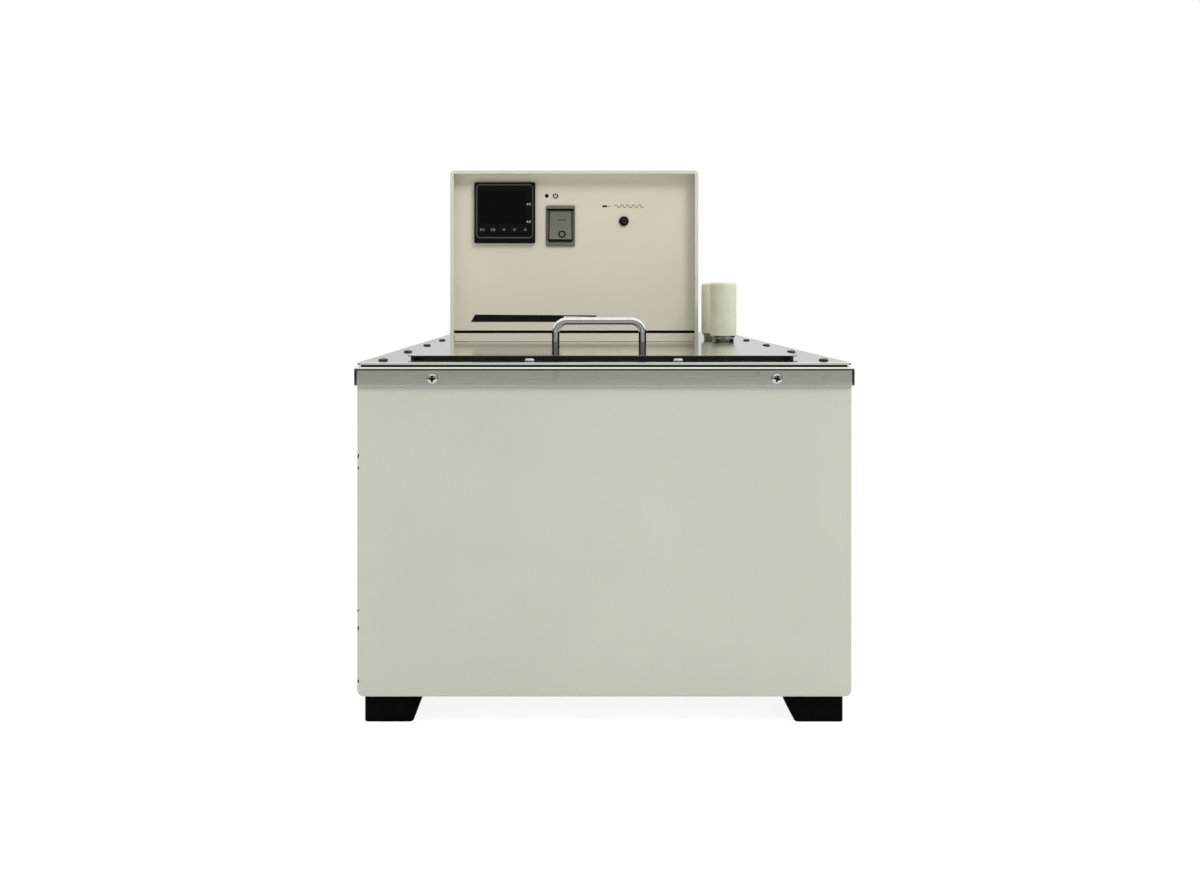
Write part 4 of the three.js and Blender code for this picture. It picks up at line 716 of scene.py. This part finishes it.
def arc(centre, radius, start, end, steps=8):
    """Points of an arc on a profile; angles are in quarter turns."""
    angles = [(start + (end - start) * i / steps) * QUARTER for i in range(steps + 1)]
    return [(centre[0] + radius * math.cos(a), centre[1] + radius * math.sin(a)) for a in angles]


def in_metres(profile):
    return [(radius * MM, height * MM) for radius, height in profile]


def make_cap(place):
    low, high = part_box("nozzle_cap_" + place)
    radius, height = (high.x - low.x) / 2 / MM, (high.z - low.z) / MM
    profile = [
        (0, height - CAP_ROOF), (CAP_BORE, height - CAP_ROOF), (CAP_BORE, CAP_LIP), (CAP_BORE + CAP_LIP, 0),
        *arc((radius - CAP_LIP, CAP_LIP), CAP_LIP, -1, 0, steps=4),
        *arc((radius - CAP_ROUND, height - CAP_ROUND), CAP_ROUND, 0, 1), (0, height),
    ]
    bm = spun(in_metres(profile), CAP_STEPS)
    at = ((low.x + high.x) / 2, (low.y + high.y) / 2, low.z)
    stand_in("cap_" + place, moved(bm, Matrix.Translation(at)), "nozzle_cap_" + place)


def make_nozzle(place):
    low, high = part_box("hose_nozzle_" + place)
    thread_low = (low.z - deck_high.z) / MM
    profile = [(NOZZLE_BORE, thread_low)]
    turns = int(-thread_low / THREAD_PITCH)
    for turn in range(turns):
        root = thread_low + turn * THREAD_PITCH
        profile += [(NOZZLE_THREAD - THREAD_PITCH / 2, root), (NOZZLE_THREAD, root + THREAD_PITCH / 2)]
    profile += [(NOZZLE_THREAD - THREAD_PITCH / 2, 0),
                *arc((NECK_RADIUS - CAP_LIP, CAP_LIP), CAP_LIP, -1, 0, steps=4),
                (NECK_RADIUS, NECK_STEP), (FLANGE_RADIUS, FLANGE_TOP - LEAD), (FLANGE_RADIUS, FLANGE_TOP)]
    for barb in range(BARB_COUNT):
        start = FLANGE_TOP + LEAD + barb * BARB_PITCH
        profile += [(BARB_WAIST, start), (BARB_RADIUS, start + LEAD), (BARB_WAIST, start + BARB_RISE)]
    mouth = (high.z - deck_high.z) / MM
    profile += [(BARB_WAIST, mouth), (NOZZLE_BORE, mouth), (NOZZLE_BORE, thread_low)]
    at = ((low.x + high.x) / 2, (low.y + high.y) / 2, deck_high.z)
    bm = moved(spun(in_metres(profile)), Matrix.Translation(at))
    stand_in("nozzle_" + place, bm, "hose_nozzle_" + place)


# Warning lamp: a black collar round a domed red lens, turned to face the front

LAMP_SLEEVE = 3.05
LAMP_BORE = 2.65
LAMP_EDGE = 0.5
LAMP_STEPS = 48


def make_lamp():
    low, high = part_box("lamp_bezel")
    radius, proud = (high.x - low.x) / 2 / MM, (panel_low.y - low.y) / MM
    tail = (panel_low.y - high.y) / MM
    collar = [
        (LAMP_BORE, tail), (LAMP_SLEEVE, tail), (LAMP_SLEEVE, 0), (radius, 0),
        *arc((radius - LAMP_EDGE, proud - LAMP_EDGE), LAMP_EDGE, 0, 1, steps=5),
        (LAMP_BORE, proud), (LAMP_BORE, tail),
    ]
    lens_low, lens_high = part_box("lamp_lens")
    lens_radius, dome = (lens_high.x - lens_low.x) / 2 / MM, (panel_low.y - lens_low.y) / MM
    lens_tail = (panel_low.y - lens_high.y) / MM
    shoulder = dome - lens_radius
    lens = [(0, lens_tail), (lens_radius, lens_tail), *arc((0, shoulder), lens_radius, 0, 1, steps=12)]
    at = Vector(((low.x + high.x) / 2, panel_low.y, (low.z + high.z) / 2))
    face_front = Matrix.Translation(at) @ Matrix.Rotation(QUARTER, 4, "X")
    stand_in("lamp_collar", moved(spun(in_metres(collar), LAMP_STEPS), face_front), "lamp_bezel")
    stand_in("lamp_dome", moved(spun(in_metres(lens), LAMP_STEPS), face_front), "lamp_lens")


# Screws: pan heads with a cross recess

DECK_SCREW = 5.4 * MM
TRIM_SCREW = 5.9 * MM
COVER_SCREW = 5 * MM
HEAD_SHARE = 0.31  # a pan head's height as a share of its width
LOW_HEAD_SHARE = 0.21  # the same of the deck's flatter screws
DECK_SCREW_INSET = 12.5 * MM
DECK_SCREW_PITCH = 77 * MM
DECK_SCREW_START = 20 * MM
DECK_SCREW_ROW = 6
DECK_END_ROW = 11.5 * MM
DECK_END_SPREAD = 41 * MM
TRIM_SCREW_SPREAD = 92.8 * MM
TRIM_SCREW_HEIGHT = 4 * MM  # above the skirt's lower edge
TRIM_SIDE_SHARES = (0.14, 0.5, 0.86)
COVER_SCREW_SHARES = (0.1, 0.5, 0.9)
COVER_SCREW_RISE = 7 * MM
REAR_SCREW_INSET = 8 * MM
REAR_SCREW_DROP = 16 * MM
HEAD_PROFILE = ((1, 0), (1, 0.3), (0.93, 0.62), (0.8, 0.86), (0.64, 1))  # shares of radius and height
HEAD_STEPS = 24
RECESS_SHARE = 0.29  # the cross's reach from the middle as a share of the head's width
SLOT_SHARE = 0.095  # half of an arm's width, as a share of the same
RECESS_TAPER = 0.6
RECESS_DEPTH = 0.75  # as a share of the head's height
SCREW_TURN = 0.66  # each next screw is turned by this much more, in radians


def screw_head(width, height):
    """A pan head standing on the origin, with a tapered cross recess of a second material, which is painted
    shade.
    """
    bm = spun([(0, 0), *((out * width / 2, up * height) for out, up in HEAD_PROFILE)], HEAD_STEPS)
    rim = [e for e in bm.edges if e.is_boundary]
    reach, half = width * RECESS_SHARE, width * SLOT_SHARE
    points = [(reach, -half), (reach, half), (half, half)]
    loop = []
    for quarter in range(4):
        for x, y in points:
            loop.append(bm.verts.new(Matrix.Rotation(quarter * QUARTER, 3, "Z") @ Vector((x, y, height))))
    cross = [bm.edges.new((a, b)) for a, b in zip(loop, loop[1:] + loop[:1])]
    bmesh.ops.bridge_loops(bm, edges=rim + cross)
    sunk = bmesh.ops.extrude_edge_only(bm, edges=cross)["geom"]
    floor_verts = [g for g in sunk if isinstance(g, bmesh.types.BMVert)]
    bmesh.ops.scale(bm, vec=(RECESS_TAPER, RECESS_TAPER, 1), verts=floor_verts)
    bmesh.ops.translate(bm, vec=(0, 0, -RECESS_DEPTH * height), verts=floor_verts)
    floor_edges = [g for g in sunk if isinstance(g, bmesh.types.BMEdge)
                   and all(v in floor_verts for v in g.verts)]
    bmesh.ops.contextual_create(bm, geom=floor_edges)
    for face in bm.faces:
        face.material_index = int(any(v in floor_verts for v in face.verts))
    return bm


def screws(name, width, places, material=None, share=HEAD_SHARE):
    """One piece with a screw at each place, a matrix whose Z axis points out of the sheet."""
    whole = bmesh.new()
    for i, place in enumerate(places):
        turned = place @ Matrix.Rotation(i * SCREW_TURN, 4, "Z")
        joined(whole, moved(screw_head(width, share * width), turned))
    # The recesses' second material is painted shade.
    on_bath(name, whole, material or screw_steel).data.materials.append(recess_dark)


def facing(x, y, z, direction):
    """A place whose Z axis points along the direction."""
    return Matrix.Translation((x, y, z)) @ Vector(direction).to_track_quat("Z", "Y").to_matrix().to_4x4()


def make_screws():
    side_x = trim_high.x - DECK_SCREW_INSET
    rows = [front + DECK_SCREW_START + i * DECK_SCREW_PITCH for i in range(DECK_SCREW_ROW)]
    places = [Matrix.Translation((side * side_x, y, deck_high.z)) for side in (-1, 1) for y in rows]
    screws("deck_screws", DECK_SCREW, places, deck_screw_steel, LOW_HEAD_SHARE)
    places = [Matrix.Translation((side * DECK_END_SPREAD, y, deck_high.z)) for side in (-1, 1)
              for y in (front + DECK_END_ROW, trim_high.y - DECK_END_ROW)]
    screws("deck_end_screws", DECK_SCREW, places)

    z = trim_low.z + TRIM_SCREW_HEIGHT
    depth = trim_high.y - trim_low.y
    places = [facing(side * TRIM_SCREW_SPREAD, y, z, (0, out, 0))
              for side in (-1, 1) for y, out in ((trim_low.y, -1), (trim_high.y, 1))]
    places += [facing(side * trim_high.x, trim_low.y + share * depth, z, (side, 0, 0))
               for side in (-1, 1) for share in TRIM_SIDE_SHARES]
    screws("trim_screws", TRIM_SCREW, places)

    depth = head_high.y - head_low.y
    z = head_low.z + COVER_SCREW_RISE
    places = [facing(x, head_low.y + share * depth, z, (side, 0, 0))
              for x, side in ((head_low.x, -1), (head_high.x, 1)) for share in COVER_SCREW_SHARES]
    screws("cover_screws", COVER_SCREW, places)

    rear_low, rear_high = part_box("rear_panel")
    vent_low, vent_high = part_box("head_rear_panel")
    places = [facing(x, rear_high.y, z, (0, 1, 0))
              for x in (rear_low.x + REAR_SCREW_INSET, 0, rear_high.x - REAR_SCREW_INSET)
              for z in (rear_low.z + REAR_SCREW_INSET, rear_high.z - REAR_SCREW_DROP)]
    places += [facing(x, vent_high.y, z, (0, 1, 0))
               for x in (vent_low.x + REAR_SCREW_INSET, vent_high.x - REAR_SCREW_INSET)
               for z in (vent_low.z + REAR_SCREW_INSET, vent_high.z - REAR_SCREW_INSET)]
    screws("rear_screws", COVER_SCREW, places)


# Printed marks; sizes are millimetres, and places are pixels of the photograph

LABEL_DOT = (546.8, 195.9)
SWITCH_SYMBOL = (555.5, 195.9)
LEVEL_PILL = (604.8, 206.3)
LEVEL_WAVE = (616, 206.3)
STRIPE_LEFT = (470.8, 322)
STRIPE_TOP_LEFT = (475.2, 314.6)
STRIPE_RIGHT = (560, 322)
STRIPE_TIP = (597, 315.4)
ON_MARK = (562, 219.6)
OFF_MARK = (562, 234.1)
SIDE_MARKS = ((528.8, 204), (528.8, 221.6))
STRIPE_TAIL = 1.2 * MM

# Bars are (width, height, corner), and rings (radius, line, start, turn) with quarter turns
LABEL_DOT_RADIUS = 1.6
SYMBOL_RING = (1.75, 0.95, 1.45, 3.1)
SYMBOL_STEM = (0.95, 2.1)
SYMBOL_STEM_RISE = 1.2
PILL = (4.2, 1.5, 0.7)
PILL_TAIL = (1.2, 0.7, 0.3)
PILL_TAIL_SHIFT = 3.6
WAVE_RADIUS = 1.15
WAVE_LINE = 0.5
WAVE_HUMPS = 10
ON_BAR = (6.4, 0.9, 0.3)
OFF_RING = (2.45, 1.4)
OFF_DOT_RADIUS = 0.45


def bar(width, height, corner=0.1):
    return rounded_face(width * MM, height * MM, corner * MM, segments=3)


def disc(radius, sides=28):
    bm = bmesh.new()
    bmesh.ops.create_circle(bm, cap_ends=True, segments=sides, radius=radius * MM)
    return bm


def ring(radius, line, start=0, turn=4, steps=36):
    """A flat ring, or an arc of it from the start."""
    bm = bmesh.new()
    inner = bm.verts.new(((radius - line / 2) * MM, 0, 0))
    outer = bm.verts.new(((radius + line / 2) * MM, 0, 0))
    edge = bm.edges.new((inner, outer))
    bmesh.ops.rotate(bm, verts=[inner, outer], matrix=Matrix.Rotation(start * QUARTER, 3, "Z"))
    bmesh.ops.spin(bm, geom=[inner, outer, edge], cent=(0, 0, 0), axis=(0, 0, 1), angle=turn * QUARTER,
                   steps=steps, use_merge=turn == 4)
    return bm


def shifted(bm, x=0, y=0):
    return moved(bm, Matrix.Translation((x * MM, y * MM, 0)))


def mark(name, shapes, place, material, body, laid_on=None):
    """Joins flat shapes into one printed mark that faces out of its place, or is laid on a curved piece."""
    whole = bmesh.new()
    for shape in shapes:
        joined(whole, shape)
    bmesh.ops.remove_doubles(whole, verts=whole.verts, dist=MERGE)
    for face in whole.faces:
        if face.normal.z < 0:
            face.normal_flip()
    moved(whole, place)
    if laid_on:
        surface = bmesh.new()
        surface.from_mesh(bpy.data.objects[laid_on].data)
        tree = BVHTree.FromBMesh(surface)
        surface.free()
        for vert in whole.verts:
            hit = tree.ray_cast(Vector((vert.co.x, front, vert.co.z)), Vector((0, 1, 0)))[0]
            vert.co.y = hit.y - PRINT_LIFT
    return finish_piece(name, whole, material, body, reorient=False)


def on_face(node, pixel):
    """The place on a node's front that the photograph shows at this pixel."""
    at = seen_at(*pixel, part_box(node)[0].y)
    return surface_place(node, at.x, at.z)


def wave():
    """A wavy line of half circles, by turns the upper and the lower one."""
    return [shifted(ring(WAVE_RADIUS, WAVE_LINE, start=2 * (i % 2), turn=2, steps=12), 2 * WAVE_RADIUS * i)
            for i in range(WAVE_HUMPS)]


def make_panel_marks():
    symbol = [ring(*SYMBOL_RING), shifted(bar(*SYMBOL_STEM), y=SYMBOL_STEM_RISE)]
    pill = [bar(*PILL), shifted(bar(*PILL_TAIL), PILL_TAIL_SHIFT)]
    for name, shapes, pixel, ink in (
        ("switch_label_dot", [disc(LABEL_DOT_RADIUS)], LABEL_DOT, black_ink),
        ("switch_label_symbol", symbol, SWITCH_SYMBOL, black_ink),
        ("level_label_pill", pill, LEVEL_PILL, black_ink),
        ("level_label_wave", wave(), LEVEL_WAVE, grey_ink),
    ):
        mark(name, shapes, on_face("head_front_panel", pixel), ink, "bath")


def make_stripe():
    """A black stripe with a slanted start that narrows to a thin tail on the right."""
    y = panel_low.y - PRINT_LIFT
    low_left, top_left, low_right, tip = (
        seen_at(*pixel, y) for pixel in (STRIPE_LEFT, STRIPE_TOP_LEFT, STRIPE_RIGHT, STRIPE_TIP))
    tail = Vector((low_right.x + (top_left.x - low_left.x), y, top_left.z - STRIPE_TAIL))
    tip_low = Vector((tip.x - STRIPE_TAIL, y, tip.z - STRIPE_TAIL))
    bm = bmesh.new()
    bm.faces.new([bm.verts.new(p) for p in (low_left, low_right, tail, tip_low, tip, top_left)])
    finish_piece("panel_stripe", bm, black_ink, "bath", reorient=False)


# Widths of the black strip round the rocker, which is painted shade of its gap.
SEAM_TOP = 1.5
SEAM_SIDE = 0.4
SEAM_CLEARANCE = 1.2


def make_switch_seam():
    """The dark line round the rocker, a black strip of painted shade, widest at the top where the housing
    shades it.
    """
    low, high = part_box("switch_rocker")
    width, height = (high.x - low.x) / MM, (high.z - low.z) / MM
    at = surface_place("switch_housing", (low.x + high.x) / 2, high.z + SEAM_CLEARANCE * MM)
    outer = width + 2 * SEAM_SIDE
    lines = [shifted(bar(outer, SEAM_TOP), y=SEAM_TOP / 2 - SEAM_CLEARANCE)]
    lines += [shifted(bar(SEAM_SIDE, height), side * (width + SEAM_SIDE) / 2, -height / 2 - SEAM_CLEARANCE)
              for side in (-1, 1)]
    lines += [shifted(bar(outer, SEAM_SIDE), y=-height - SEAM_CLEARANCE)]
    mark("switch_seam", lines, at, rubber, "bath")


def make_switch_marks():
    for name, shapes, pixel, ink in (
        ("switch_on_mark", [bar(*ON_BAR)], ON_MARK, dark_ink),
        ("switch_off_mark", [ring(*OFF_RING), disc(OFF_DOT_RADIUS)], OFF_MARK, black_ink),
    ):
        mark(name, shapes, on_face("switch_rocker", pixel), ink, "rocker",
             "switch_rocker_finished")


# Controller: the grey line round its face, and the marks on its keys and beside its display

FACE_WIDTH = 43.2 * MM
FACE_HEIGHT = 40.7 * MM
FACE_CORNER = 2.4 * MM
FACE_SLOPE = 0.95 * MM
FACE_RISE = 1.2 * MM
LEVEL_BAR = (0.9, 2.2)
LEVEL_BAR_SHIFT = -1.1
LEVEL_RING = (0.8, 0.4)
LEVEL_RING_SHIFT = 0.9
MODE_BAR = (0.7, 2.2)
MODE_BAR_SHIFTS = (-1.1, 0.3, 1.4)
ARROW_RADIUS = 1.3
ARROW_SHIFT = 0.2
SIDE_DOT_RADIUS = 0.8
SIDE_DOT_SHIFT = -1
SIDE_BAR = (1.1, 1.8)
SIDE_BAR_SHIFT = 0.9


def make_face_line():
    """The grey line that frames the controller's face, on the slope of its rim."""
    low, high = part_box("controller_bezel")
    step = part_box("display_window")[0].y - low.y
    line = bmesh.new()
    for growth, level in ((FACE_SLOPE, PRINT_LIFT), (0, PRINT_LIFT - step)):
        width, height = FACE_WIDTH + 2 * growth, FACE_HEIGHT + 2 * growth
        outline = rounded_face(width, height, FACE_CORNER + growth, segments=8)
        joined(line, moved(outline, Matrix.Translation((0, 0, level))))
    bmesh.ops.delete(line, geom=line.faces[:], context="FACES_ONLY")
    bmesh.ops.bridge_loops(line, edges=line.edges[:])
    at = Matrix.Translation(((low.x + high.x) / 2, low.y, (low.z + high.z) / 2 + FACE_RISE))
    moved(line, at @ Matrix.Rotation(QUARTER, 4, "X"))
    bmesh.ops.recalc_face_normals(line, faces=line.faces)
    if sum(face.normal.y * face.calc_area() for face in line.faces) > 0:
        bmesh.ops.reverse_faces(line, faces=line.faces[:])
    finish_piece("face_line", line, line_ink, "bath", reorient=False)


def arrow(turn):
    """A triangle that points up, turned by so many quarters."""
    return moved(disc(ARROW_RADIUS, 3), Matrix.Rotation(turn * QUARTER, 4, "Z"))


def make_controller_marks():
    level_ring = shifted(ring(*LEVEL_RING), LEVEL_RING_SHIFT)
    glyphs = {
        "level_key": [shifted(bar(*LEVEL_BAR), LEVEL_BAR_SHIFT), level_ring],
        "mode_key": [shifted(bar(*MODE_BAR), x) for x in MODE_BAR_SHIFTS],
        "shift_key": [shifted(arrow(1), ARROW_SHIFT)],
        "down_key": [arrow(2)],
        "up_key": [arrow(0)],
    }
    for key, shapes in glyphs.items():
        low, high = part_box(key)
        place = surface_place(key, (low.x + high.x) / 2, (low.z + high.z) / 2)
        mark(key + "_mark", shapes, place, dim_ink, body_of(key))
    for i, pixel in enumerate(SIDE_MARKS):
        shapes = [shifted(disc(SIDE_DOT_RADIUS), SIDE_DOT_SHIFT), shifted(bar(*SIDE_BAR), SIDE_BAR_SHIFT)]
        mark(f"display_mark_{i + 1}", shapes, on_face("controller_bezel", pixel), pale_ink, "bath")


# Wear: chips in the enamel down the left front edge

CHIPS = ((456.3, 2.6), (468.1, 1.6), (610.7, 1.2), (628.3, 2.4), (681.3, 1.7))  # pixel height, length in mm
CHIP_WIDTH = 0.9 * MM
CHIP_DEPTH = 0.14 * MM
CHIP_INSET = 0.7 * MM
CHIP_TURN = 0.2  # radians
CHIP_UNEVEN = 0.22  # how far its outline strays, as a share
CHIP_RIPPLE = 7  # radians from one point to the next


def make_chips():
    whole = bmesh.new()
    face_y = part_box("front_panel")[0].y
    for pixel_y, length in CHIPS:
        chip = bmesh.new()
        bmesh.ops.create_icosphere(chip, subdivisions=2, radius=0.5)
        for i, vert in enumerate(chip.verts):
            vert.co *= 1 + CHIP_UNEVEN * math.sin(CHIP_RIPPLE * i)
        bmesh.ops.scale(chip, vec=(CHIP_WIDTH, CHIP_DEPTH, length * MM), verts=chip.verts)
        edge = Vector((case_low.x + CHIP_INSET, face_y + CHIP_DEPTH / 4, seen_at(0, pixel_y, face_y).z))
        joined(whole, moved(chip, Matrix.Translation(edge) @ Matrix.Rotation(-CHIP_TURN, 4, "Z")))
    on_bath("enamel_chips", whole, chip_grey)


# Stage and light

FLOOR_SIZE = 3.2
FLOOR_GLOW = 0.8  # share of the glow in what the camera sees
FLOOR_LIGHT = 1.12
KEY_PLACE = (0.95, -1.4, 1.75)
KEY_SIZE = 0.8
KEY_POWER = 16.5
LIGHT_AIM = Vector((0, 0, 0.2))
FRONT_LIGHT = 0.56
FLAG_LIGHT = 0.03
BACK_LIGHT = 0.63
TOP_LIGHT = 1.08
LEFT_SHARE = 0.88
RIGHT_SHARE = 1.14
STRIPE_SHADE = 0.75

# Ranges of a direction's X, Y or Z, from -1 to 1, over which the surround changes
ALL_ACROSS = (-1, 1)
FRONT_END = (-0.52, -0.42)
BACK_START = (0.86, 0.9)
TOP_START = (0.08, 0.3)
STRIPE_BOTTOM = (0.03, 0.06)
STRIPE_TOP = (0.5, 0.62)
STRIPE_BACK = (-0.4, -0.1)


def seen_directly(tree):
    """1 for what the camera sees, also through clear plastic, and 0 for light and reflections."""
    rays = add(tree, "LightPath").node.outputs
    return add(tree, "Math", operation="MAXIMUM", Value=rays["Is Camera Ray"],
               Value_001=rays["Is Transmission Ray"])


def floor_paper():
    """Studio paper: near-white, and lit from within for the camera so that only soft shadows show."""
    look = Look("studio_paper", Base_Color=linear("#FAFAF8"), Roughness=0.9, Specular_IOR_Level=0.1)
    glow = add(look.tree, "Emission", Color="#FFFFFF", Strength=FLOOR_LIGHT)
    share = add(look.tree, "Math", operation="MULTIPLY", Value=seen_directly(look.tree), Value_001=FLOOR_GLOW)
    mix = add(look.tree, "MixShader", Fac=share, Shader=look.shader.outputs[0], Shader_001=glow)
    look.tree.links.new(mix, look.tree.nodes["Material Output"].inputs["Surface"])
    return look.material


def make_stage():
    bm = bmesh.new()
    bmesh.ops.create_grid(bm, x_segments=1, y_segments=1, size=FLOOR_SIZE / 2)
    mesh = bpy.data.meshes.new("floor")
    bm.to_mesh(mesh)
    bm.free()
    floor = bpy.data.objects.new("floor", mesh)
    bpy.context.scene.collection.objects.link(floor)
    mesh.materials.append(floor_paper())


def graded(tree, along, value, *changes):
    """The value, which changes to each next one over a range of what it goes along."""
    for (start, end), target in changes:
        value = add(tree, "MapRange", Value=along, From_Min=start, From_Max=end, To_Min=value, To_Max=target)
    return value


def make_world():
    """White to the camera; for the rest bright above, grey ahead and behind, and dark at the sides.

    A darker stripe above the horizon ahead keeps what the enamel faces there from bleaching it.
    """
    world = bpy.data.worlds.new("studio")
    bpy.context.scene.world = world
    world.use_nodes = True
    tree = world.node_tree
    tree.nodes.clear()
    direction = add(tree, "TexCoord", "Generated")
    x, y, z = add(tree, "SeparateXYZ", Vector=direction).node.outputs
    around = graded(tree, y, FRONT_LIGHT, (FRONT_END, FLAG_LIGHT), (BACK_START, BACK_LIGHT))
    light = graded(tree, z, around, (TOP_START, TOP_LIGHT))
    shade = graded(tree, y, 1 - STRIPE_SHADE, (STRIPE_BACK, 1))
    stripe = graded(tree, z, 1, (STRIPE_BOTTOM, shade), (STRIPE_TOP, 1))
    for share in (graded(tree, x, LEFT_SHARE, (ALL_ACROSS, RIGHT_SHARE)), stripe):
        light = add(tree, "Math", operation="MULTIPLY", Value=light, Value_001=share)
    lit = add(tree, "Background", Color="#FFFFFF", Strength=light)
    plain = add(tree, "Background", Color="#FFFFFF", Strength=1)
    mix = add(tree, "MixShader", Fac=seen_directly(tree), Shader=lit, Shader_001=plain)
    out = tree.nodes.new("ShaderNodeOutputWorld")
    tree.links.new(mix, out.inputs["Surface"])


def make_key_light():
    """The soft lamp ahead on the right, which the steel doesn't mirror."""
    data = bpy.data.lights.new("key", "AREA")
    data.shape = "DISK"
    data.size = KEY_SIZE
    data.energy = KEY_POWER
    key = bpy.data.objects.new("key", data)
    key.location = KEY_PLACE
    key.visible_glossy = False
    key.rotation_euler = (LIGHT_AIM - key.location).to_track_quat("-Z", "Y").to_euler()
    bpy.context.scene.collection.objects.link(key)


make_sheet_metal()
make_small_parts()
make_lid()
make_seal()
make_joint_strip()
make_handle()
for end in ("front", "rear"):
    make_cap(end)
    make_nozzle(end)
make_lamp()
make_plain_parts()
make_screws()
make_panel_marks()
make_stripe()
make_switch_seam()
make_switch_marks()
make_face_line()
make_controller_marks()
make_chips()
make_stage()
make_world()
make_key_light()
make_camera()
bpy.context.scene.view_settings.view_transform = "Standard"
